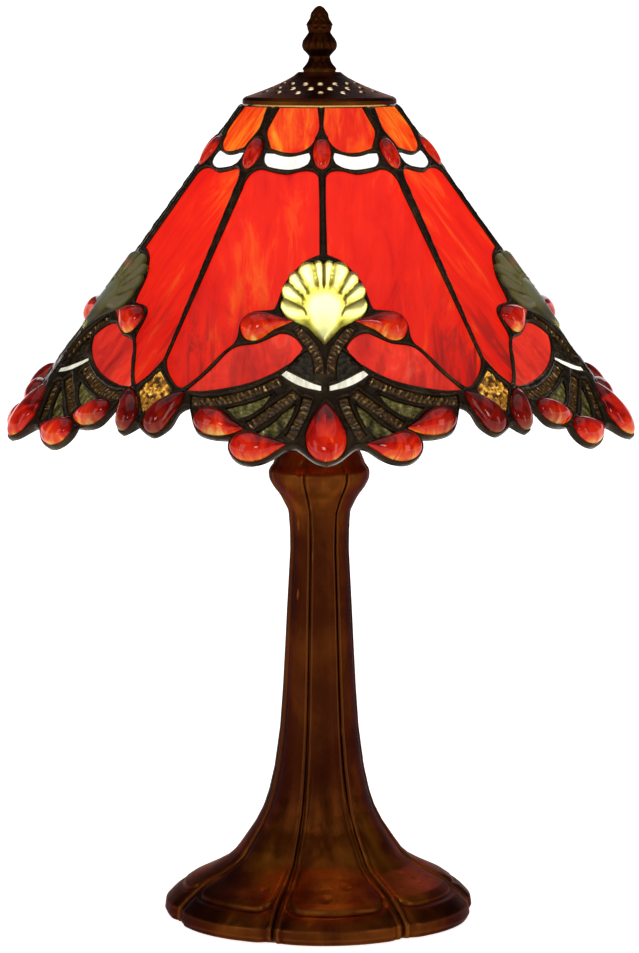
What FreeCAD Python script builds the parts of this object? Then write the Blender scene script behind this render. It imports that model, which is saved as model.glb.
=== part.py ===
# Leaded glass table lamp. A fluted, seven-lobed column carries a socket with its bulb and a
# wire harp, and the ten-sided leaded shade rests on the harp's swivel stud under a vented cap.
# Millimetres, +Z up. The origin is the centre of the felt pad's underside, and the front of the
# lamp, where one of the shade's five shell motifs is centred, looks along -Y.
# An azimuth is measured from -Y towards +X, in degrees.
import FreeCAD
import Part
import math
import os
from FreeCAD import Vector

# ---- driving dimensions: shade ----
MOTIFS = 5
SECTOR = 360.0 / MOTIFS              # one motif, two mirrored facets
FACET = SECTOR / 2                   # azimuth that one flat facet takes up
SHADE_SLOPE = 35.64                  # facet's lean from the vertical
SHADE_APOTHEM = 37.93                # axis to facet at the pattern's top line
SHADE_Z = 408.07                     # height of the pattern's top line
SHADE_TOP_Z = 408.9                  # the shade is cut level here, under the cap
GLASS = 3.0                          # sheet glass
SHELL_PROUD, OVAL_PROUD = 3.5, 3.5   # how far a pressed piece stands out of the facet
DROP_PROUD = 5.5                     # the same for the thick cast drops
LEAD_OUT, LEAD_IN = 1.0, 3.8         # solder bead outside and inside the facet plane
MITRE = 4.0                          # a piece cut at a fold is drawn this far past it

# ---- driving dimensions: foot and column ----
LOBES = 7
LOBE_AZIMUTH = 6.85                  # centre of the front lobe
CASTING_BOTTOM = 1.0
COLUMN_TOP = 238.0
FELT = 2.0
PLATE = 1.2
PLATE_RADIUS = 70.4
DISH = 8.0                           # how far the bottom plate's middle is dished up
PIPE_RADIUS, PIPE_BORE = 5.0, 3.7    # M10 lamp pipe
PIPE_TOP = 250.0
CLEARANCE = 0.2
GROMMET_Z = 8.0
GROMMET_RADIUS, GROMMET_BORE = 4.6, 3.2
GROMMET_INNER, GROMMET_OUTER = 64.0, 78.7
# column: radius at a lobe's crest, height, depth of the groove between lobes
COLUMN = [(77.2, CASTING_BOTTOM, 4.4), (78.5, 3.5, 4.6), (77.9, 8.0, 4.6), (74.4, 11.7, 4.6),
          (69.4, 15.8, 4.4), (65.0, 19.0, 4.2), (54.6, 24.0, 3.8), (47.4, 28.0, 3.4),
          (42.8, 32.0, 3.1), (38.1, 38.7, 2.8), (32.5, 47.0, 2.5), (28.4, 55.0, 2.3),
          (25.6, 63.4, 2.1), (22.8, 75.7, 1.9), (20.0, 96.0, 1.7), (18.5, 116.6, 1.6),
          (17.4, 137.0, 1.5), (16.4, 157.0, 1.4), (14.8, 186.0, 1.3), (14.9, 196.0, 1.3),
          (15.7, 206.0, 1.3), (19.8, 214.0, 1.5), (23.1, 218.0, 1.7), (25.3, 222.0, 1.8),
          (25.6, 225.5, 1.8), (22.8, 233.0, 1.5), (20.5, COLUMN_TOP, 1.2)]
FOOT_WALL, COLUMN_WALL = 6.5, 3.6    # measured level, so thinner across the foot's slope
WALL_CHANGE_Z = 40.0

# ---- driving dimensions: harp and top ----
WIRE = 1.75                          # harp wire's radius
LEG_X = 28.4                         # harp leg from the axis
LEG_Z = 251.8                        # lower end of the harp leg
HARP_PATH = [(LEG_X, LEG_Z), (LEG_X, 281.0), (46.0, 310.0), (46.0, 350.0), (26.0, 386.0), (6.0, 395.2)]
HARP_BEND = 12.0
EYE_RADIUS, EYE_LOW, EYE_HIGH = 9.2, 393.4, 397.0
STUD = 3.175                         # 1/4 in thread
STUD_TOP = 433.5
WHEEL_Z, WHEEL_THICK = 399.8, 1.8
RING_LOW, RING_BORE = 401.9, 29.5
CAP_RIM_Z, CAP_TOP_Z = 409.1, 424.6
FINIAL_Z, FINIAL_TOP = 425.5, 457.2

# ---- driving dimensions: socket and bulb ----
SHAFT_Z, SHAFT = 266.0, 2.0
RUNNING = 0.08                       # radial running clearance
BULB_Z, BULB_RADIUS = 321.0, 22.5
ENVELOPE = 0.8


# ================= helpers =================
def curve(points):
    """A straight edge through two points, or one smooth edge through more."""
    if len(points) == 2:
        return Part.LineSegment(*points).toShape()
    spline = Part.BSplineCurve()
    spline.interpolate(points)
    return spline.toShape()


def outline(runs, place):
    """Closed face. Each run of points ends at the corner that starts the next run."""
    edges = []
    for number, run in enumerate(runs):
        corner = runs[(number + 1) % len(runs)][0]
        edges.append(curve([place(*point) for point in run + [corner]]))
    return Part.Face(Part.Wire(edges))


def turned(*runs):
    """Solid of revolution about Z from an outline of (radius, height) points."""
    face = outline(list(runs), lambda r, z: Vector(r, 0, z))
    return face.revolve(Vector(0, 0, 0), Vector(0, 0, 1), 360)


def disc(radius, low, high, x=0.0, y=0.0):
    return Part.makeCylinder(radius, high - low, Vector(x, y, low))


def tube(outer, inner, low, high, x=0.0):
    return disc(outer, low, high, x).cut(disc(inner, low - 1, high + 1, x))


def rod(radius, start, end):
    """Cylinder between two points."""
    start, end = Vector(*start), Vector(*end)
    return Part.makeCylinder(radius, (end - start).Length, start, end - start)


def hex_nut(across_flats, bore, low, high):
    corner = across_flats / 2 / math.cos(math.radians(30))
    points = [Vector(corner * math.cos(math.radians(a)), corner * math.sin(math.radians(a)), low)
              for a in range(0, 361, 60)]
    body = Part.Face(Part.makePolygon(points)).extrude(Vector(0, 0, high - low))
    return body.cut(disc(bore, low - 1, high + 1))


def at_azimuth(shape, azimuth):
    """Copy of a shape built facing the front, turned to an azimuth."""
    return shape.copy().rotate(Vector(0, 0, 0), Vector(0, 0, 1), azimuth)


# ================= shade =================
# A place on a facet is (t, s): t runs level from the motif's centre fold, s runs down the slope.
SLOPE_SIN = math.sin(math.radians(SHADE_SLOPE))
SLOPE_COS = math.cos(math.radians(SHADE_SLOPE))
HALF_TAN = math.tan(math.radians(FACET / 2))


def apothem(s):
    return SHADE_APOTHEM + s * SLOPE_SIN


def far_fold(s):
    """t of the fold between two motifs, where the diamonds are."""
    return 2 * HALF_TAN * apothem(s)


def off_far_fold(points):
    """Points given as (distance inwards from the far fold, s)."""
    return [(far_fold(s) - inward, s) for inward, s in points]


def facet_frame():
    """Placement of the facet to the right of the front motif."""
    azimuth = math.radians(FACET / 2)
    level = Vector(math.cos(azimuth), math.sin(azimuth), 0)
    out = Vector(math.sin(azimuth) * SLOPE_COS, -math.cos(azimuth) * SLOPE_COS, SLOPE_SIN)
    up = out.cross(level)
    origin = Vector(SHADE_APOTHEM * math.sin(azimuth), -SHADE_APOTHEM * math.cos(azimuth), SHADE_Z)
    return FreeCAD.Placement(FreeCAD.Matrix(
        level.x, up.x, out.x, origin.x,
        level.y, up.y, out.y, origin.y,
        level.z, up.z, out.z, origin.z,
        0, 0, 0, 1))


def facet_wedge():
    """The room that one facet may fill: a 36 degree slice, level at the top."""
    reach = 240.0
    azimuth = math.radians(FACET)
    corners = [Vector(0, 0, 200), Vector(0, -reach, 200),
               Vector(reach * math.sin(azimuth), -reach * math.cos(azimuth), 200), Vector(0, 0, 200)]
    return Part.Face(Part.makePolygon(corners)).extrude(Vector(0, 0, SHADE_TOP_Z - 200))


FACET_FRAME = facet_frame()
FACET_WEDGE = facet_wedge()


def flat(runs):
    """Face of an outline of (t, s) points, lying in the facet's own plane."""
    return outline(runs, lambda t, s: Vector(t - apothem(s) * HALF_TAN, -s, 0))


def slab(face, inside, outside, trim):
    """A face given thickness on the front right facet, trimmed to the facet's slice if asked."""
    body = face.copy()
    body.translate(Vector(0, 0, -inside))
    body = body.extrude(Vector(0, 0, inside + outside))
    body.Placement = FACET_FRAME.multiply(body.Placement)
    return body.common(FACET_WEDGE) if trim else body


def mirrored(shape):
    return shape.mirror(Vector(0, 0, 0), Vector(1, 0, 0))


def around(shapes, turn=0.0):
    """The same shapes at every motif."""
    return Part.makeCompound([at_azimuth(shape, turn + SECTOR * k) for k in range(MOTIFS) for shape in shapes])


def pair_pieces(face, proud, trim=False):
    """A piece on each of the ten facets."""
    piece = slab(face, GLASS, proud, trim)
    return around([piece, mirrored(piece)])


def centre_pieces(face, proud):
    """Five pieces bent over the motifs' centre folds."""
    half = slab(face, GLASS, proud, True)
    return around([half.fuse(mirrored(half)).removeSplitter()])


def between_pieces(face, proud):
    """Five pieces bent over the folds between motifs."""
    half = at_azimuth(slab(face, GLASS, proud, True), -FACET)
    return around([half.fuse(mirrored(half)).removeSplitter()], FACET)


CROWN_PETAL = [[(1.5, -MITRE), (1.4, 8), (1.9, 14)],
               [(3.5, 17.5), (7, 23.5), (12, 26), (16, 26.4), (20, 25.8)],
               [(25.5, 23.7), (26.6, 19), (27.2, 15.7)],
               [(26.8, 12.4)], [(19.6, -MITRE)]]
WHITE_SLIP = [[(7, 26.8), (6.6, 30)], [(7.6, 32.4), (12.8, 35), (20, 35.4)],
              [(26.5, 34.0), (28.3, 31)], [(27.8, 27.2)], [(24, 27.4), (20, 28.7), (15.5, 29), (11, 28)]]
OVAL_MIDDLE, OVAL_HIGH, OVAL_WIDE = 27.0, 8.3, 3.6
RED_PANEL = [[(2, 83.6)], [(2, 40.5)], [(3.5, 38.4), (7.5, 37.2), (11, 37.6), (15, 38.8)],
             [(20, 39.2), (24, 38.4)], [(29.5, 36.8), (33.5, 37.6), (36.5, 40.5)], [(39.4, 47)],
             [(77.3, 143), (77.3, 147), (75.5, 152.5)],
             [(72.4, 157.2)], [(70.4, 158), (66, 154.8), (60, 149), (53, 141)],
             [(46, 134.4), (43.6, 130), (42.8, 125), (40.5, 119.3), (36, 115.9), (30, 114.8)],
             [(25, 114), (22.6, 107.5), (20.5, 101), (16.3, 94.8), (10.5, 88.2), (5.5, 84.9)]]
RED_LEAF = [[(11.5, 135.5), (14, 131.4), (18, 128.6)], [(22, 128.3), (27.5, 131.2), (34, 134.1), (40, 135)],
            [(43.5, 136), (47.5, 139), (53.5, 146), (59.5, 152.5)],
            [(67, 159.6)], [(60, 159.5), (50, 157.8), (40, 155.2), (30, 151.2), (22, 146.5), (15, 140.5)]]
SHELL = [[(-MITRE, 88.8)], [(0, 89), (2.2, 87.8)], [(4.8, 88.8), (9, 89.6)], [(12.5, 94), (15.9, 95.6)],
         [(16.7, 100), (19.8, 103.6)], [(19.2, 108.5), (20.8, 113), (19, 117.6)],
         [(14, 121)], [(8, 124), (3.6, 128.6)], [(0, 133)], [(-MITRE, 133)]]
SIDE_DROP = [[(16, 120.8)], [(24, 119.2), (30, 118), (36, 119), (39.8, 122.5), (40.3, 126), (39, 130),
                            (35.5, 131.6), (30.5, 129.8), (25.5, 125.7), (20, 122.7)]]
AMBER_SCROLL = [[(14.3, 126.2), (11.3, 130.4), (8.5, 134.4), (6.1, 138.6), (4.9, 143)], [(4.5, 148.4)],
                [(1.4, 148.4), (1.6, 142.6), (2.9, 137.2), (5.3, 132.5), (8.3, 128.4)], [(11.8, 124.2)]]
DARK_INFILL = [[(8.6, 137.2)], [(11.4, 139.6), (14, 142.4)], [(17.2, 145.6), (12, 149.5)],
               [(6.6, 152)], [(6.5, 146), (7.2, 141)]]
WHITE_SLIVER = [[(2.4, 155.4), (9, 153), (16, 149.4)], [(19, 147.9)], [(21, 149.8), (18, 152.2), (13, 155)],
                [(5.5, 157.2)], [(2.4, 157.7)]]
UPPER_STRIP = [[(22, 155.6), (29, 158.8), (36, 162.2), (43.5, 164.9), (51, 166.9), (58, 167.7)], [(65, 167.3)],
               [(65, 163.6), (58, 163.9), (51, 163.1), (43.5, 161.2), (36, 158.7), (29, 155.3)], [(23.6, 152.4)]]
UPPER_WEDGE = [[(27.4, 161.8), (33, 164.9), (40, 167.4)], [(47.3, 169.6)],
               [(42.8, 173.8)], [(38, 172), (32.5, 168.2)]]
MIDDLE_STRIP = [[(13.4, 161.4), (19, 166.5), (25, 171), (31, 175.9)], [(35.6, 179.4)],
                [(38, 176.4), (33, 172.9), (27, 167.9), (21, 163.3)], [(16, 158.8)]]
LOWER_WEDGE = [[(15.6, 167)], [(20.6, 171.4), (26, 177)], [(32.5, 181.8)],
               [(24.9, 183.4)], [(20.6, 178.4), (17.6, 172.6)]]
INNER_STRIP = [[(7.2, 163.4), (8.9, 169.6), (12.4, 177.4)], [(15.8, 184.4)],
               [(18.9, 182.6), (15.6, 176.2), (12.1, 168.4)], [(10.4, 162.6)]]
CENTRE_DROP = [[(-MITRE, 163.3)], [(0, 163.3), (3.4, 168.4), (7.4, 176.6), (9.4, 184.4), (7.6, 191.7)],
               [(0, 195.6)], [(-MITRE, 195.6)]]
INNER_DROP = [[(20.5, 187.3)], [(28, 185.2), (34, 182.9), (39.5, 182.4), (44, 185), (46.1, 190),
                              (43.5, 194.8), (38, 196.3), (31.5, 195), (26, 191.5)]]
OUTER_DROP = [[(41, 179.4)], [(46.5, 175.9), (51, 171.8), (55.5, 170.2), (60, 170.4), (63, 173.4),
                            (63.6, 177.4), (61.4, 181), (57, 182.9), (50, 183.1), (44.5, 181.4)]]
FLANK_DROP = [[(69.6, 161.9)], [(74.5, 163.2), (80.5, 166.8), (85.5, 171.2), (88.3, 176), (88.8, 179.5),
                              (87, 182.6), (84, 183.3), (80, 180.8), (76.5, 175.9), (73.2, 170.6)]]
DIAMOND = [[(-MITRE, 150.5)], [(0, 150.5), (4, 155)], [(9.4, 160.4), (5, 166)], [(0, 171.5)], [(-MITRE, 171.5)]]
SCALLOPED_EDGE = [[(-MITRE, 197.4), (0, 197.8), (5.4, 196.8), (10.8, 193.2)],
                  [(15, 190), (19.6, 190.6), (24, 193.8), (32, 198.2), (40.6, 199), (46.8, 195.2), (48.9, 190)],
                  [(48.5, 186.3), (52, 186.3), (58, 185.5), (63.6, 182.8), (66.2, 177)],
                  [(67.5, 170), (71.4, 173), (74.2, 178.4), (79, 183.4), (84.4, 186), (88.6, 184.4)]]


def oval_half():
    """Half an oval jewel beside a fold at t = 0, drawn past the fold."""
    steps = [math.radians(a) for a in (0, 30, 60, 90, 120, 150)]
    side = [(OVAL_WIDE * math.sin(a), OVAL_MIDDLE - OVAL_HIGH * math.cos(a)) for a in steps]
    low, high = OVAL_MIDDLE - OVAL_HIGH, OVAL_MIDDLE + OVAL_HIGH
    return [[(-MITRE, low)], side, [(0, high)], [(-MITRE, high)]]


def near_far_fold(runs):
    return [off_far_fold(run) for run in runs]


# node name: (outlines, how it is repeated, how far it stands out of the facet)
GLASS_PIECES = {
    "crown_petal_glass": (CROWN_PETAL, "crown", 0.0),
    "white_slip_glass": (WHITE_SLIP, "pair", 0.0),
    "red_panel_glass": (RED_PANEL, "pair", 0.0),
    "red_leaf_glass": (RED_LEAF, "pair", 0.0),
    "shell_glass": (SHELL, "centre", SHELL_PROUD),
    "shell_side_drops": (SIDE_DROP, "pair", DROP_PROUD),
    "amber_scroll_glass": (AMBER_SCROLL, "pair", 0.0),
    "dark_infill_glass": (DARK_INFILL, "pair", 0.0),
    "white_sliver_glass": (WHITE_SLIVER, "pair", 0.0),
    "amber_upper_strips": (UPPER_STRIP, "pair", 0.0),
    "amber_middle_strips": (MIDDLE_STRIP, "pair", 0.0),
    "amber_inner_strips": (INNER_STRIP, "pair", 0.0),
    "green_upper_wedges": (UPPER_WEDGE, "pair", 0.0),
    "green_lower_wedges": (LOWER_WEDGE, "pair", 0.0),
    "centre_ruby_drops": (CENTRE_DROP, "centre", DROP_PROUD),
    "inner_ruby_drops": (INNER_DROP, "pair", DROP_PROUD),
    "outer_ruby_drops": (OUTER_DROP, "pair", DROP_PROUD),
    "flank_ruby_drops": (FLANK_DROP, "pair", DROP_PROUD),
    "amber_diamond_glass": (near_far_fold(DIAMOND), "between", 0.0),
}


def glass_nodes():
    """Every kind of glass piece, and the faces that the leading leaves open for them."""
    nodes, faces = {}, []
    for name, (runs, repeat, proud) in GLASS_PIECES.items():
        face = flat(runs)
        faces.append(face)
        if repeat == "centre":
            nodes[name] = centre_pieces(face, proud)
        elif repeat == "between":
            nodes[name] = between_pieces(face, proud)
        else:
            nodes[name] = pair_pieces(face, proud, trim=repeat == "crown")
    motif_oval = flat(oval_half())
    far_oval = flat(near_far_fold(oval_half()))
    faces += [motif_oval, far_oval]
    ovals = centre_pieces(motif_oval, OVAL_PROUD).Solids + between_pieces(far_oval, OVAL_PROUD).Solids
    nodes["crown_ruby_ovals"] = Part.makeCompound(ovals)
    return nodes, faces


def shade_leading(openings):
    """Ten soldered panels of leading, mitred where they meet at the folds."""
    top = -MITRE
    edge_end = far_fold(180.5)
    bottom = SCALLOPED_EDGE + [[(edge_end, 180.5)], [(edge_end + MITRE, 180.5)]]
    sheet = flat(bottom + [[(far_fold(top) + MITRE, top)], [(-MITRE, top)]])
    net = sheet.cut(openings)
    panel = Part.makeCompound([slab(face, LEAD_IN, LEAD_OUT, True) for face in net.Faces])
    panel = panel.Solids[0]
    return around([panel, mirrored(panel)])


def crown_ring():
    """Brass angle ring soldered inside the shade's top; it rests on the support wheel."""
    def inside(z):
        return apothem((SHADE_Z - z) / SLOPE_COS) - LEAD_IN / SLOPE_COS - 0.03
    skirt = 1.2
    floor = RING_LOW + 1.2
    return turned([(RING_BORE, RING_LOW)], [(inside(RING_LOW), RING_LOW)], [(inside(SHADE_TOP_Z), SHADE_TOP_Z)],
                  [(inside(SHADE_TOP_Z) - skirt, SHADE_TOP_Z)], [(inside(floor) - skirt, floor)],
                  [(RING_BORE, floor)])


# ================= foot and column =================
def lobed_wire(radius, z, groove):
    """Closed level section with one rounded bay per lobe and a groove between bays."""
    points = []
    per_lobe = 10
    for step in range(LOBES * per_lobe):
        across = 2.0 * (step % per_lobe) / per_lobe - 1.0      # -1 at a groove, 0 at the crest
        hollow = 0.5 * across ** 2 + 0.5 * across ** 8
        azimuth = math.radians(LOBE_AZIMUTH + 360.0 / LOBES * (step / per_lobe - 0.5))
        r = radius - groove * hollow
        points.append(Vector(r * math.sin(azimuth), -r * math.cos(azimuth), z))
    ring = Part.BSplineCurve()
    ring.interpolate(Points=points, PeriodicFlag=True)
    return Part.Wire(ring.toShape())


def grommet_axis(radius, low, high):
    """Cylinder lying along the cord inlet, which looks out of the lobe left of the rear."""
    azimuth = math.radians(LOBE_AZIMUTH + 3 * 360.0 / LOBES)
    out = (math.sin(azimuth), -math.cos(azimuth))
    return rod(radius, (low * out[0], low * out[1], GROMMET_Z), (high * out[0], high * out[1], GROMMET_Z))


def column_casting():
    """Hollow casting: lobed outside, turned inside, with a ledge for the bottom plate."""
    outside = Part.makeLoft([lobed_wire(*section) for section in COLUMN], True, True)
    ledge = FELT + PLATE
    wall = []
    for radius, z, groove in COLUMN:
        if ledge < z < COLUMN_TOP - 4:
            thick = FOOT_WALL if z < WALL_CHANGE_Z else COLUMN_WALL
            wall.append((radius - groove - thick, z))
    hollow = [[(0, ledge)], [(wall[0][0], ledge)]] + [[point] for point in wall] + [[(0, wall[-1][1])]]
    casting = outside.cut(turned(*hollow))
    casting = casting.cut(disc(PLATE_RADIUS + CLEARANCE, 0, ledge))
    casting = casting.cut(disc(PIPE_RADIUS + CLEARANCE, 200, COLUMN_TOP + 1))
    return casting.cut(grommet_axis(GROMMET_RADIUS + 0.05, 50, 90))


def bottom_plate():
    low, high = FELT, FELT + PLATE
    bore = PIPE_RADIUS + CLEARANCE
    return turned([(bore, low + DISH)], [(26, low + DISH)], [(34, low)], [(PLATE_RADIUS, low)],
                  [(PLATE_RADIUS, high)], [(34.6, high)], [(26.6, high + DISH)], [(bore, high + DISH)])


def cord_grommet():
    flange = grommet_axis(GROMMET_RADIUS + 1.2, GROMMET_OUTER, GROMMET_OUTER + 1.6)
    sleeve = grommet_axis(GROMMET_RADIUS, GROMMET_INNER, GROMMET_OUTER)
    return sleeve.fuse(flange).cut(grommet_axis(GROMMET_BORE, GROMMET_INNER - 1, GROMMET_OUTER + 3))


def harp_saddle():
    """U-shaped strip under the socket with a locating pin at the top of each arm."""
    low, thick, arm_top, half_depth = COLUMN_TOP + 0.1, 1.6, 246.0, 8.0
    outer, inner = LEG_X + 0.8, LEG_X - 0.8
    points = [(-outer, low), (outer, low), (outer, arm_top), (inner, arm_top), (inner, low + thick),
              (-inner, low + thick), (-inner, arm_top), (-outer, arm_top), (-outer, low)]
    strip = Part.Face(Part.makePolygon([Vector(x, -half_depth, z) for x, z in points]))
    strip = strip.extrude(Vector(0, 2 * half_depth, 0)).cut(disc(PIPE_RADIUS + CLEARANCE, low - 1, low + 3))
    pins = [disc(WIRE, arm_top - 1.5, LEG_Z - 0.3, x) for x in (-LEG_X, LEG_X)]
    return strip.fuse(pins).removeSplitter()


def foot_nodes():
    nut_high = FELT + DISH - 1.2
    return {
        "column_casting": column_casting(),
        "felt_pad": disc(PLATE_RADIUS, 0, FELT),
        "bottom_plate": bottom_plate(),
        "threaded_pipe": tube(PIPE_RADIUS, PIPE_BORE, FELT + 2.4, PIPE_TOP),
        "bottom_nut": hex_nut(14.0, PIPE_RADIUS, nut_high - 3.2, nut_high),
        "lock_washer": tube(8.5, PIPE_RADIUS, nut_high, FELT + DISH),
        "top_nut": hex_nut(14.0, PIPE_RADIUS, COLUMN_TOP + 1.7, COLUMN_TOP + 4.9),
        "cord_grommet": cord_grommet(),
        "harp_saddle": harp_saddle(),
    }


# ================= socket =================
def shaft_hole(radius, start, end):
    return rod(radius, (0, start, SHAFT_Z), (0, end, SHAFT_Z))


def turn_knob():
    """Shaft with a ribbed grip; it turns about a level axis at the back of the socket."""
    ribs, grip, start, end = 12, 5.6, 22.0, 35.0
    knob = shaft_hole(grip, start, end)
    for k in range(ribs):
        a = 2 * math.pi * k / ribs
        x, z = grip * math.cos(a), SHAFT_Z + grip * math.sin(a)
        knob = knob.cut(rod(0.7, (x, start + 2, z), (x, end + 1, z)))
    return knob.fuse(shaft_hole(SHAFT, 5.0, start + 1)).removeSplitter()


def socket_nodes():
    cap = turned([(5.1, 243)], [(8.5, 243)], [(8.5, 247.6), (13, 249.8), (17, 253.4)], [(18, 256.5)],
                 [(18, 263)], [(17.1, 263)], [(17.1, 257), (16, 254.4), (12.2, 251)], [(7.6, 249)], [(5.1, 249)])
    hole = SHAFT + RUNNING
    screw = tube(14.4, 13.5, 272, 296).fuse(tube(14.0, 6.0, 272, 272.8)).removeSplitter()
    return {
        "socket_cap": cap.cut(shaft_hole(3.3, 10, 20)),
        "socket_shell": tube(17.0, 16.3, 257.5, 300).cut(shaft_hole(3.2, 10, 20)),
        "socket_liner": tube(16.2, 15.4, 258, 299).cut(shaft_hole(3.2, 10, 20)),
        "switch_body": disc(15.3, 258, 272).cut(shaft_hole(hole, 4.5, 20)),
        "switch_bushing": shaft_hole(3.1, 15.6, 21.6).cut(shaft_hole(hole, 10, 30)),
        "socket_screw_shell": screw,
        "socket_centre_contact": disc(3.5, 272, 273.2),
        "turn_knob": turn_knob(),
    }


# ================= bulb =================
def bulb_glass():
    """Globe envelope with its neck inside the screw base."""
    def side(inset):
        r = BULB_RADIUS - inset
        lean = math.sqrt(0.5)
        return [(12.3 - inset, 301.8), (13.6 - inset, 303.1), (r * lean, BULB_Z - r * lean), (r, BULB_Z),
                (r * lean, BULB_Z + r * lean), (0.36 * r, BULB_Z + 0.933 * r)]
    outer, inner = side(0.0), side(ENVELOPE)
    neck = 293.0
    top = BULB_Z + BULB_RADIUS
    back = list(reversed(inner))
    return turned([(12.3, neck)], outer, [(0, top)], [(0, top - ENVELOPE)] + back, [(12.3 - ENVELOPE, neck)])


def filament():
    """Two support wires and the arched coil between them."""
    feet, tips = 2.0, 9.0
    low, high = 317.3, 326.0
    shape = rod(0.5, (-tips, 0, high), (0, 0, high + 4)).fuse(rod(0.5, (0, 0, high + 4), (tips, 0, high)))
    for side in (-1, 1):
        shape = shape.fuse(rod(0.35, (side * feet, 0, low), (side * tips, 0, high + 0.3)))
    return shape


def bulb_nodes():
    return {
        "bulb_glass": bulb_glass(),
        "bulb_base": tube(13.1, 12.4, 278, 301.5),
        "bulb_insulator": turned([(0, 275.2)], [(5, 275.2)], [(12.9, 277.2)], [(12.9, 278)], [(0, 278)]),
        "bulb_contact": disc(4.2, 273.5, 275.2),
        "bulb_stem": turned([(0, 303)], [(6, 303)], [(3.6, 307), (2.8, 312)], [(2.6, 317)], [(0, 317)]),
        "bulb_filament": filament(),
    }


# ================= harp and top =================
def rounded_path(points, bend):
    """Straight runs joined by tangent arcs of one radius."""
    edges, start = [], points[0]
    for before, corner, after in zip(points, points[1:], points[2:]):
        to_start, to_end = (before - corner).normalize(), (after - corner).normalize()
        half = to_start.getAngle(to_end) / 2
        cut = bend / math.tan(half)
        middle = (to_start + to_end).normalize() * (bend / math.sin(half) - bend)
        first, last = corner + to_start * cut, corner + to_end * cut
        edges.append(Part.LineSegment(start, first).toShape())
        edges.append(Part.Arc(first, corner + middle, last).toShape())
        start = last
    edges.append(Part.LineSegment(start, points[-1]).toShape())
    return Part.Wire(edges)


def harp():
    """Bowed wire loop around the bulb, ending in an eye for the swivel stud."""
    path = rounded_path([Vector(x, 0, z) for x, z in HARP_PATH], HARP_BEND)
    section = Part.Wire(Part.makeCircle(WIRE, Vector(LEG_X, 0, LEG_Z), Vector(0, 0, 1)))
    leg = path.makePipeShell([section], True, True)
    eye = disc(EYE_RADIUS, EYE_LOW, EYE_HIGH)
    whole = eye.fuse([leg, mirrored(leg)])
    return whole.cut(disc(2.6, EYE_LOW - 3, EYE_HIGH + 3)).removeSplitter()


def harp_stud():
    """Swivel stud: riveted under the eye, flanged above it, threaded to its top."""
    flange_low = EYE_HIGH + 0.3
    return turned([(0, EYE_LOW - 2.1)], [(4.5, EYE_LOW - 2.1)], [(4.5, EYE_LOW - 0.3)], [(2.5, EYE_LOW - 0.3)],
                  [(2.5, flange_low)], [(7, flange_low)], [(7, WHEEL_Z - 0.3)], [(STUD, WHEEL_Z - 0.3)],
                  [(STUD, STUD_TOP - 1)], [(STUD - 1, STUD_TOP)], [(0, STUD_TOP)])


def support_wheel():
    """Flat spoked wheel on the stud; the shade's crown ring rests on its rim."""
    low, high = WHEEL_Z, WHEEL_Z + WHEEL_THICK
    wheel = tube(35.0, 31.0, low, high).fuse(disc(9.0, low, high))
    for k in range(3):
        spoke = Part.makeBox(6, 32, WHEEL_THICK, Vector(-3, -32, low))
        wheel = wheel.fuse(at_azimuth(spoke, 120 * k))
    return wheel.cut(disc(STUD + 0.22, low - 1, high + 1)).removeSplitter()


def vent_cap():
    """Spun dome over the shade's top, pierced by three staggered rows of vents."""
    bore = STUD + 0.32
    dome = turned([(bore, CAP_TOP_Z)], [(10.5, CAP_TOP_Z)], [(12.9, 422.7), (20.3, 418.8), (30.2, 414.8)],
                  [(35.4, 412.9), (37.4, 412)], [(38.2, 411)], [(38.2, CAP_RIM_Z)], [(37.1, CAP_RIM_Z)],
                  [(37.1, 410.6)], [(36.6, 411.2)], [(34.9, 411.9)], [(29.8, 413.8), (19.9, 417.8), (12.3, 421.6)],
                  [(10.0, CAP_TOP_Z - 1.1)], [(bore, CAP_TOP_Z - 1.1)])
    vents, hole = 16, 1.7
    lean = math.radians(22)
    out = Vector(0, -math.sin(lean), math.cos(lean))
    for row, (radius, z) in enumerate([(19.8, 419.0), (24.6, 416.9), (29.4, 415.1)]):
        drill = Part.makeCylinder(hole, 6, Vector(0, -radius, z) - out * 3, out)
        turn = 360.0 / vents
        dome = dome.cut([at_azimuth(drill, turn * (k + 0.5 * (row % 2))) for k in range(vents)])
    return dome


def finial():
    """Turned finial: flared foot, gadrooned bulb, waist, leaf ring and pointed acorn."""
    return turned([(4.0, FINIAL_Z)], [(8.4, FINIAL_Z)], [(8.4, 426.6), (6.9, 428.4), (5.7, 430.3)],
                  [(5.2, 432.3), (6.9, 434.3), (8.4, 436.3), (8.65, 438.3), (8.2, 440), (6.9, 442)],
                  [(5.4, 444.2)], [(6.9, 447.9), (5.4, 450.2), (4.0, 454), (2.5, 456)], [(0, FINIAL_TOP)],
                  [(0, 437.4)], [(4.0, 437.4)])


def top_nodes():
    return {
        "harp_wire": harp(),
        "ferrule_left": tube(3.6, 2.05, 246.3, 262.3, -LEG_X),
        "ferrule_right": tube(3.6, 2.05, 246.3, 262.3, LEG_X),
        "harp_stud": harp_stud(),
        "support_wheel": support_wheel(),
        "vent_cap": vent_cap(),
        "finial_washer": tube(8.0, STUD + 0.4, CAP_TOP_Z + 0.1, FINIAL_Z - 0.1),
        "finial": finial(),
        "finial_insert": tube(4.0, STUD + RUNNING, FINIAL_Z, 437.0),
    }


# ================= files =================
def main():
    os.makedirs("parts", exist_ok=True)
    nodes, openings = glass_nodes()
    nodes["shade_leading"] = shade_leading(openings)
    nodes["shade_crown_ring"] = crown_ring()
    for group in (foot_nodes(), socket_nodes(), bulb_nodes(), top_nodes()):
        nodes.update(group)
    for name, shape in nodes.items():
        shape.exportStep(os.path.join("parts", name + ".step"))
        print("%-24s solids %3d valid %s volume %.1f" % (name, len(shape.Solids), shape.isValid(), shape.Volume))


main()
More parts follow.
